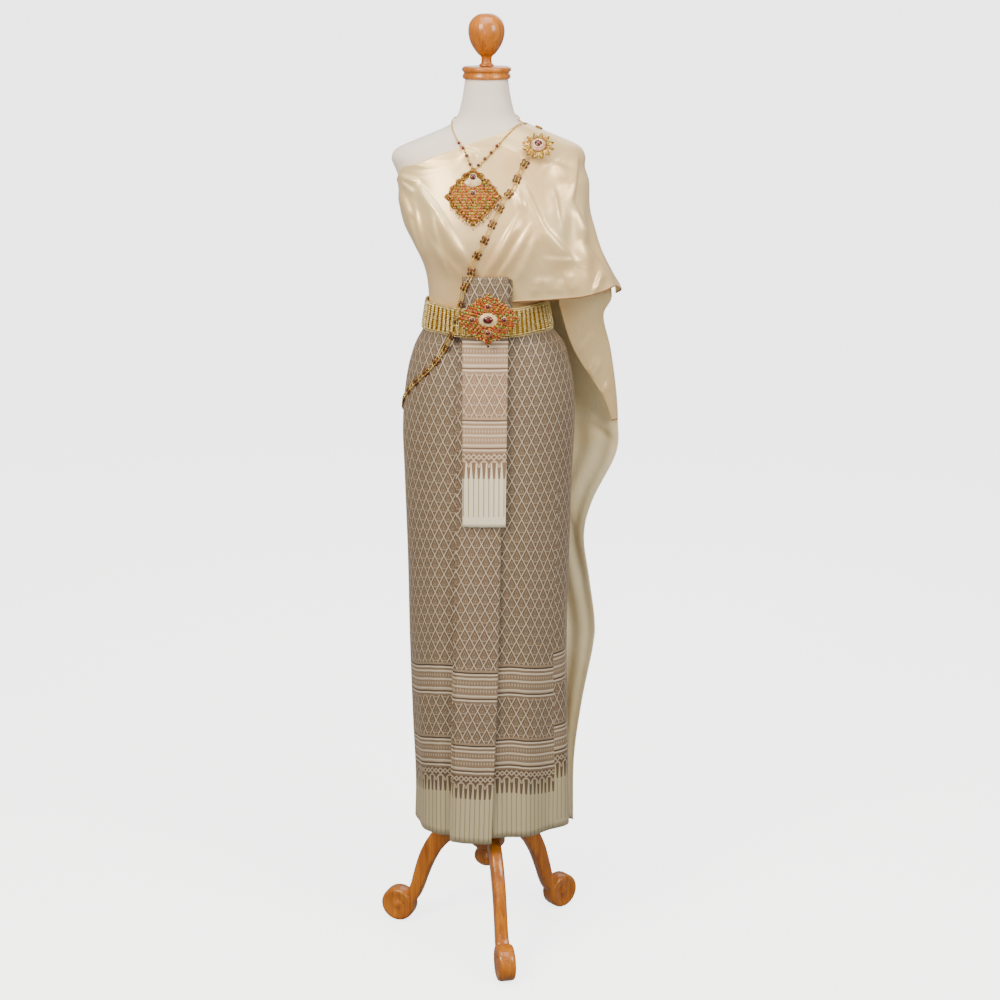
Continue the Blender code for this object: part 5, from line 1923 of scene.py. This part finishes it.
@dataclass
class Buckle(Medallion):
    """The belt's rhombic buckle: a garnet on cream enamel, four smaller garnets and rings of paste stones."""

    def build(self) -> bpy.types.Object:
        """Plate, stones and claws.

        Returns:
            The finished object.
        """
        jewel, seat = Jewel(self.name, METALS + STONES), self.seat()
        steps = ((1.0, 0.003), (0.97, 0.0042), (0.93, 0.0034), (0.8, 0.0042), (0.62, 0.006), (0.36, 0.0066))
        jewel.plate(CHARCOAL_WIRE, seat.matrix(0, 0, 0), rhombus(self.reach), steps, 144)
        kinds = (CORAL, OLIVE, CORAL, CORAL, AMBER, CORAL, PINK, OLIVE, CORAL)
        # How far out each ring lies, its number of stones and its height
        rings = (
            (0.93, 44, 0.0042), (0.82, 38, 0.005), (0.71, 32, 0.0058), (0.6, 28, 0.0068),
            (0.49, 22, 0.0074), (0.385, 18, 0.0076),
        )
        for share, count, height in rings:
            self.rows_of(jewel, seat, share, count, 0.0021, height, kinds, 7 * share % 1)
        for k in range(48):
            u, v = rhombus(self.reach)(2 * math.pi * k / 48)
            jewel.bead(PALE_GOLD, seat.matrix(u * 0.985, v * 0.985, 0.0032), (0.0014, 0.0014, 0.0014), 1)
        for u, v in ((0.0285, 0.0), (-0.0285, 0.0), (0.0, 0.0235), (0.0, -0.0235)):
            jewel.stone(GARNET, seat.matrix(u, v, 0.0080), (0.0043, 0.0043, 0.0034), PALE_GOLD, 3)
        jewel.bead(ENAMEL, seat.matrix(0, 0, 0.0066), (0.0165, 0.0118, 0.0036), 3)
        jewel.ring(PALE_GOLD, seat.matrix(0, 0, 0.0074), (0.0168, 0.0121), 0.0009, 40)
        jewel.stone(GARNET, seat.matrix(0, 0, 0.0094), (0.0086, 0.0067, 0.0044), PALE_GOLD, 3)
        jewel.stone(GARNET, seat.matrix(0, -0.0480, 0.0032), (0.0022, 0.0030, 0.0020), PALE_GOLD)
        return jewel.done(Slot.GEMS, [self.node])


@dataclass
class Pendant(Medallion):
    """The rhombic pendant: rows of paste stones between gilt wires, a crescent and a garnet above."""

    def build(self) -> bpy.types.Object:
        """Plate, rows of stones and the fringe of drops.

        Returns:
            The finished object.
        """
        jewel, seat = Jewel(self.name, METALS + STONES), self.seat()
        steps = ((1.0, 0.0026), (0.96, 0.0038), (0.90, 0.0030), (0.70, 0.0040), (0.35, 0.0050))
        jewel.plate(CHARCOAL_WIRE, seat.matrix(0, 0, 0), rhombus(self.reach), steps, 144)
        kinds = (
            (CORAL, AMBER), (CORAL, OLIVE, CORAL), (CORAL, AMBER, GARNET, AMBER), (AMBER, OLIVE, CORAL),
            (OLIVE, AMBER, CORAL, GARNET, OLIVE), (CORAL, AMBER, PINK), (AMBER, CORAL, OLIVE),
            (CORAL, PINK, AMBER),
        )
        for row, v in enumerate(np.linspace(0.040, -0.040, 17)):
            half = self.reach[0] * max(0.0, 1 - (abs(v) / self.reach[1]) ** 1.1) ** 0.86 - 0.004
            count = max(1, int(2 * half / 0.0056))
            for k in range(count):
                u = (k - (count - 1) / 2) * 0.0056
                kind = kinds[row % len(kinds)][k % len(kinds[row % len(kinds)])]
                if abs(u) < 0.014 - 0.3 * abs(v - 0.028) and v > 0.015:
                    continue
                jewel.stone(kind, seat.matrix(u, v, 0.0050), (0.0023, 0.0020, 0.0016), OLD_GOLD)
                jewel.bead(GOLD, seat.matrix(u + 0.0028, v + 0.0027, 0.0046), (0.0007,) * 3)
        self.rows_of(jewel, seat, 0.945, 40, 0.0016, 0.0042, (PINK, AMBER, CORAL), 0.5)
        for k in range(60):
            u, v = rhombus(self.reach)(2 * math.pi * k / 60)
            jewel.bead(PALE_GOLD, seat.matrix(u * 0.99, v * 0.99, 0.0028), (0.0012,) * 3)
        for k in range(23):
            u, v = rhombus(self.reach)(math.radians(195 + 150 * k / 22))
            jewel.bead(PALE_GOLD, seat.matrix(u * 0.97, v * 0.97 - 0.0035, 0.0026), (0.0012, 0.0034, 0.0012))
            jewel.bead(
                CORAL if k % 2 else PALE_GOLD,
                seat.matrix(u * 0.97, v * 0.97 - 0.0075, 0.0024),
                (0.0014,) * 3,
            )
        jewel.bead(ENAMEL, seat.matrix(0, 0.0255, 0.0052), (0.0140, 0.0078, 0.0028), 3)
        jewel.ring(PALE_GOLD, seat.matrix(0, 0.0255, 0.0058), (0.0142, 0.0080), 0.0008, 36)
        jewel.stone(GARNET, seat.matrix(0, 0.0345, 0.0066), (0.0056, 0.0056, 0.0036), PALE_GOLD, 3)
        jewel.stone(GARNET, seat.matrix(0, 0.0060, 0.0066), (0.0048, 0.0040, 0.0030), PALE_GOLD, 3)
        return jewel.done(Slot.GEMS, [self.node])


@dataclass
class Brooch(Medallion):
    """The shoulder brooch: a garnet on a rosy dome inside twelve pointed gilt rays."""

    def build(self) -> bpy.types.Object:
        """Rays, dome, ring and stones.

        Returns:
            The finished object.
        """
        jewel, seat = Jewel(self.name, METALS + STONES), self.seat()

        def rays(angle: float) -> tuple[float, float]:
            """The edge with twelve points.

            Args:
                angle: angle in radians round the plate.

            Returns:
                The place across and up.
            """
            point = 1 - abs((angle * 12 / math.pi) % 2 - 1)
            far = self.reach[0] * (0.66 + 0.34 * point)
            return far * math.cos(angle), far * math.sin(angle)

        jewel.plate(OLD_GOLD, seat.matrix(0, 0, 0), rays, ((1.0, 0.0022), (0.93, 0.0034), (0.6, 0.0046)), 96)
        for k in range(12):
            angle = 2 * math.pi * (k + 0.5) / 12
            far = 0.0200
            u, v = far * math.cos(angle), far * math.sin(angle)
            kind = (OLIVE, AMBER, PINK)[k % 3]
            jewel.stone(kind, seat.matrix(u, v, 0.0044, angle), (0.0026, 0.0018, 0.0015), GOLD)
            angle = 2 * math.pi * k / 12
            jewel.bead(
                PALE_GOLD,
                seat.matrix(0.0225 * math.cos(angle), 0.0225 * math.sin(angle), 0.004, angle),
                (0.0046, 0.0009, 0.0012),
                1,
            )
            jewel.bead(
                PALE_GOLD,
                seat.matrix(0.0275 * math.cos(angle), 0.0275 * math.sin(angle), 0.003),
                (0.0013,) * 3,
            )
        jewel.bead(ROSE, seat.matrix(0, 0, 0.0044), (0.0142, 0.0142, 0.0046), 3)
        jewel.ring(CHARCOAL_WIRE, seat.matrix(0, 0, 0.0046), (0.0148, 0.0148), 0.0012, 36)
        for k in range(18):
            angle = 2 * math.pi * k / 18
            jewel.bead(
                PALE_GOLD,
                seat.matrix(0.0112 * math.cos(angle), 0.0112 * math.sin(angle), 0.0072),
                (0.0009,) * 3,
            )
        jewel.stone(GARNET, seat.matrix(0, 0, 0.0088), (0.0072, 0.0072, 0.0040), PALE_GOLD, 3)
        return jewel.done(Slot.GEMS, [self.node])


BUCKLE = Buckle("belt_buckle", "jewelled_buckle", (0.0028, 1.2700), (0.0555, 0.0445), 0.0, 0.0)
PENDANT = Pendant("pendant", "jewelled_pendant", (-0.0235, 1.4835), (0.0490, 0.0510), 19.0, 0.0166)
BROOCH = Brooch("shoulder_brooch", "rayed_brooch", (0.0916, 1.5690), (0.0290, 0.0290), 42.0, 0.0194)


@dataclass
class Necklace:
    """The fine gilt chain round the neck, with garnets where it meets the pendant."""

    guide: tuple[Point, ...] = (
        (-0.0235, -0.11, 1.533), (-0.035, -0.11, 1.55), (-0.047, -0.1, 1.575), (-0.059, -0.07, 1.596),
        (-0.069, -0.03, 1.612), (-0.07, 0.01, 1.618), (-0.05, 0.055, 1.623), (0.0, 0.075, 1.624),
        (0.05, 0.055, 1.625), (0.07, 0.01, 1.622), (0.065, -0.03, 1.617), (0.048, -0.07, 1.604),
        (0.021, -0.095, 1.58), (0.006, -0.105, 1.566), (-0.01, -0.11, 1.549), (-0.0235, -0.11, 1.533),
    )

    def build(self, cloth: BVHTree) -> bpy.types.Object:
        """Lay the chain and thread its beads.

        Args:
            cloth: the cloth that it lies on.

        Returns:
            The finished object.
        """
        path, _ = laid(spaced(self.guide, 0.004) + AXIS, cloth, 0.0022, 4)
        path = respaced(path, 0.0020)
        jewel = Jewel("neck_chain", METALS + STONES)
        for index, point in enumerate(path):
            size = (0.0015, 0.0015, 0.0015) if index % 2 else (0.0011, 0.0011, 0.0015)
            jewel.bead(GOLD, Matrix.Translation(Vector(point)), size)
        for stop in (7, 15, 23, 31):
            for index in (stop, len(path) - 1 - stop):
                place = Matrix.Translation(Vector(path[index]) + Vector((0.0, -0.0014, 0.0008)))
                jewel.stone(
                    GARNET,
                    place @ Matrix.Rotation(math.radians(70), 4, "X"),
                    (0.0029, 0.0029, 0.0024),
                    GOLD,
                )
                near = Matrix.Translation(
                    Vector(path[index + (4 if index == stop else -4)]) + Vector((0, -0.0012, 0))
                )
                jewel.bead(GOLD, near, (0.0020, 0.0020, 0.0020), 2)
        return jewel.done(Slot.GOLD, ["necklace_chain"])


@dataclass
class Sash:
    """A chain of four-petalled garnet flowers, joined by twin lines of fine gilt beads."""

    node: str
    name: str
    rounds: int
    guide: tuple[Point, ...]
    pitch: float = 0.0313
    first: float = 0.0040
    thick: float = 0.0022
    clear: float = 0.0015

    def build(self, cloth: BVHTree) -> bpy.types.Object:
        """Lay the line on the cloth, then set the flowers and the bead lines along it.

        Args:
            cloth: the cloth that it lies on.

        Returns:
            The finished object.
        """
        path, outs = laid(spaced(self.guide, 0.004) + AXIS, cloth, self.clear + self.thick / 2, self.rounds)
        run = np.concatenate([[0.0], np.linalg.norm(np.diff(path, axis=0), axis=1).cumsum()])
        ahead = np.gradient(path, axis=0)

        def seat_at(stop: float) -> Seat:
            """The chain's own plane at one distance along it.

            Args:
                stop: distance along the line in metres.

            Returns:
                The place with its own axes.
            """
            here, out, along = (
                Vector([float(np.interp(stop, run, values[:, k])) for k in range(3)])
                for values in (path, outs, ahead)
            )
            along.normalize()
            side = out.cross(along).normalized()
            return Seat(here, side, along, side.cross(along).normalized())

        jewel = Jewel(self.name, METALS + STONES)
        for stop in np.linspace(0.0, run[-1], round(run[-1] / 0.0023)):
            seat = seat_at(stop)
            for side in (-0.0030, 0.0030):
                jewel.bead(GOLD, seat.matrix(side, 0, 0), (0.0012, 0.0013, 0.0011))
        for stop in np.arange(self.first, run[-1] - 0.004, self.pitch):
            seat = seat_at(stop)
            jewel.bead(CHARCOAL_WIRE, seat.matrix(0, 0, 0.0002), (0.0048, 0.0048, 0.0009), 2)
            for turn in (45, 135, 225, 315):
                angle = math.radians(turn)
                place = seat.matrix(0.0043 * math.cos(angle), 0.0043 * math.sin(angle), 0.0010, angle)
                jewel.stone(WINE, place, (0.0042, 0.0031, 0.0018), CHARCOAL_WIRE)
            jewel.bead(GOLD, seat.matrix(0, 0, 0.0024), (0.0013, 0.0013, 0.0011), 2)
            for offset in (-0.0095, 0.0095):
                jewel.bead(GOLD, seat.matrix(0, offset, 0.0002), (0.0034, 0.0012, 0.0012), 1)
        return jewel.done(Slot.GEMS, [self.node])


SASH_FRONT = Sash(
    "sash_chain_front",
    "flower_sash_front",
    9,
    (
        (0.07, -0.085, 1.543), (0.0557, -0.11, 1.521), (0.039, -0.13, 1.5), (0.027, -0.14, 1.475),
        (0.0125, -0.15, 1.446), (-0.0008, -0.15, 1.414), (-0.0133, -0.15, 1.3855), (-0.026, -0.145, 1.355),
        (-0.044, -0.13, 1.3246), (-0.053, -0.13, 1.297), (-0.064, -0.13, 1.269), (-0.075, -0.125, 1.236),
        (-0.0895, -0.115, 1.2104), (-0.108, -0.105, 1.183), (-0.126, -0.085, 1.159),
        (-0.143, -0.06, 1.135), (-0.156, -0.03, 1.11), (-0.164, -0.004, 1.0886), (-0.1655, 0.012, 1.0805),
        (-0.163, 0.026, 1.0765),
    ),
)
SASH_BACK = Sash(
    "sash_chain_back",
    "flower_sash_back",
    60,
    (
        (-0.162, 0.028, 1.076), (-0.15, 0.064, 1.08), (-0.125, 0.1, 1.1), (-0.095, 0.125, 1.135),
        (-0.07, 0.135, 1.175), (-0.045, 0.14, 1.22), (-0.015, 0.138, 1.28), (0.015, 0.13, 1.34),
        (0.042, 0.125, 1.4), (0.064, 0.12, 1.46), (0.08, 0.115, 1.51), (0.09, 0.1, 1.55),
        (0.096, 0.07, 1.585), (0.098, 0.03, 1.602), (0.097, -0.005, 1.605),
    ),
)


# ---------------------------------------------------------------- the studio


@dataclass
class Studio:
    """A pale cove, soft boxes and the camera at the photograph's angle."""

    eye: Point = (0.024, -3.6, 1.8794)
    pitch: float = 74.8
    lens: float = 70.99
    # Name, place, size, power and tint of each soft box
    boxes: tuple[tuple[str, Point, float, float, str], ...] = (
        ("key_left", (-1.7, -2.2, 2.9), 1.3, 116.0, "FFF0DC"),
        ("key_right", (2.1, -1.9, 2.5), 1.2, 70.0, "FFF4E6"),
        ("overhead", (0.0, -0.5, 3.3), 1.6, 42.0, "FFFFFF"),
        ("front_fill", (-0.5, -3.6, 1.5), 1.5, 17.0, "FFF6EA"),
        ("behind", (0.6, 2.4, 2.6), 1.8, 20.0, "FFFFFF"),
    )

    def cove(self) -> None:
        """The floor, swept up behind into a backdrop."""
        work = bmesh.new()
        bmesh.ops.create_grid(work, x_segments=1, y_segments=1, size=9.0)
        edge = max(work.edges, key=lambda item: sum(vert.co.y for vert in item.verts))
        for step in range(1, 13):
            grown = bmesh.ops.extrude_edge_only(work, edges=[edge])["geom"]
            edge = next(item for item in grown if isinstance(item, bmesh.types.BMEdge))
            turn = min(step, 11) / 11 * math.pi / 2
            for vert in edge.verts:
                vert.co.y = 9.0 + 4.0 * math.sin(turn)
                vert.co.z = 4.0 * (1 - math.cos(turn)) + (8.0 if step == 12 else 0.0)
        piece = finished("studio_cove", work)
        paper = bpy.data.materials.new("pale_backdrop_paper")
        paper.use_nodes = True
        shader = paper.node_tree.nodes["Principled BSDF"]
        shader.inputs["Base Color"].default_value = linear("F7F7F7")
        shader.inputs["Roughness"].default_value = 0.9
        shader.inputs["Specular IOR Level"].default_value = 0.1
        shader.inputs["Emission Color"].default_value = linear("FFFFFF")
        shader.inputs["Emission Strength"].default_value = 3.2
        piece.data.materials.append(paper)
        piece.visible_diffuse = False
        piece.visible_glossy = False

    def lights(self) -> None:
        """Soft boxes and an even white surround."""
        for name, place, size, power, tint in self.boxes:
            lamp = bpy.data.lights.new(name, "AREA")
            lamp.size, lamp.energy, lamp.color = size, power, linear(tint)[:3]
            holder = bpy.data.objects.new(name, lamp)
            bpy.context.scene.collection.objects.link(holder)
            holder.location = place
            holder.rotation_euler = (Vector((0, 0, 1.0)) - Vector(place)).to_track_quat("-Z", "Y").to_euler()
        world = bpy.data.worlds.new("white_surround")
        world.use_nodes = True
        world.node_tree.nodes["Background"].inputs["Color"].default_value = (1.0, 1.0, 1.0, 1.0)
        world.node_tree.nodes["Background"].inputs["Strength"].default_value = 0.33
        bpy.context.scene.world = world

    def camera(self) -> None:
        """The camera that the photograph was taken with."""
        data = bpy.data.cameras.new("photo_camera")
        data.lens, data.sensor_width, data.clip_end = self.lens, 36.0, 100.0
        holder = bpy.data.objects.new("photo_camera", data)
        bpy.context.scene.collection.objects.link(holder)
        holder.location = (POLE.x + self.eye[0], POLE.y + self.eye[1], self.eye[2])
        holder.rotation_euler = (math.radians(self.pitch), 0.0, 0.0)
        bpy.context.scene.camera = holder

    def build(self) -> None:
        """Cove, lights and camera."""
        self.cove()
        self.lights()
        self.camera()


def main() -> None:
    """Build the studio, the form and its stand, the cloth and the jewellery."""
    logging.basicConfig(level=logging.INFO, format="%(name)s: %(message)s")
    Studio().build()
    form = Form().build()
    for turned in (CAP, FINIAL, POLE_ROD, HUB):
        turned.build()
    for node, angle in (("stand_leg_front", -80.0), ("stand_leg_right", 40.0), ("stand_leg_left", 160.0)):
        Leg(node, angle).build()
    belt = Belt().build()
    satin = Shawl().build()
    brocade = Skirt().build()
    dressed = surface([form, belt[0]] + satin + brocade)
    worn = surface([form] + satin)
    BUCKLE.build()
    PENDANT.build()
    BROOCH.build()
    Necklace().build(worn)
    SASH_FRONT.build(dressed)
    SASH_BACK.build(dressed)


def plain(box: Sequence[Sequence[float]]) -> list[list[float]]:
    """A box as plain lists of numbers."""
    return [[float(value) for value in corner] for corner in box]


if __name__ == "__main__":
    main()
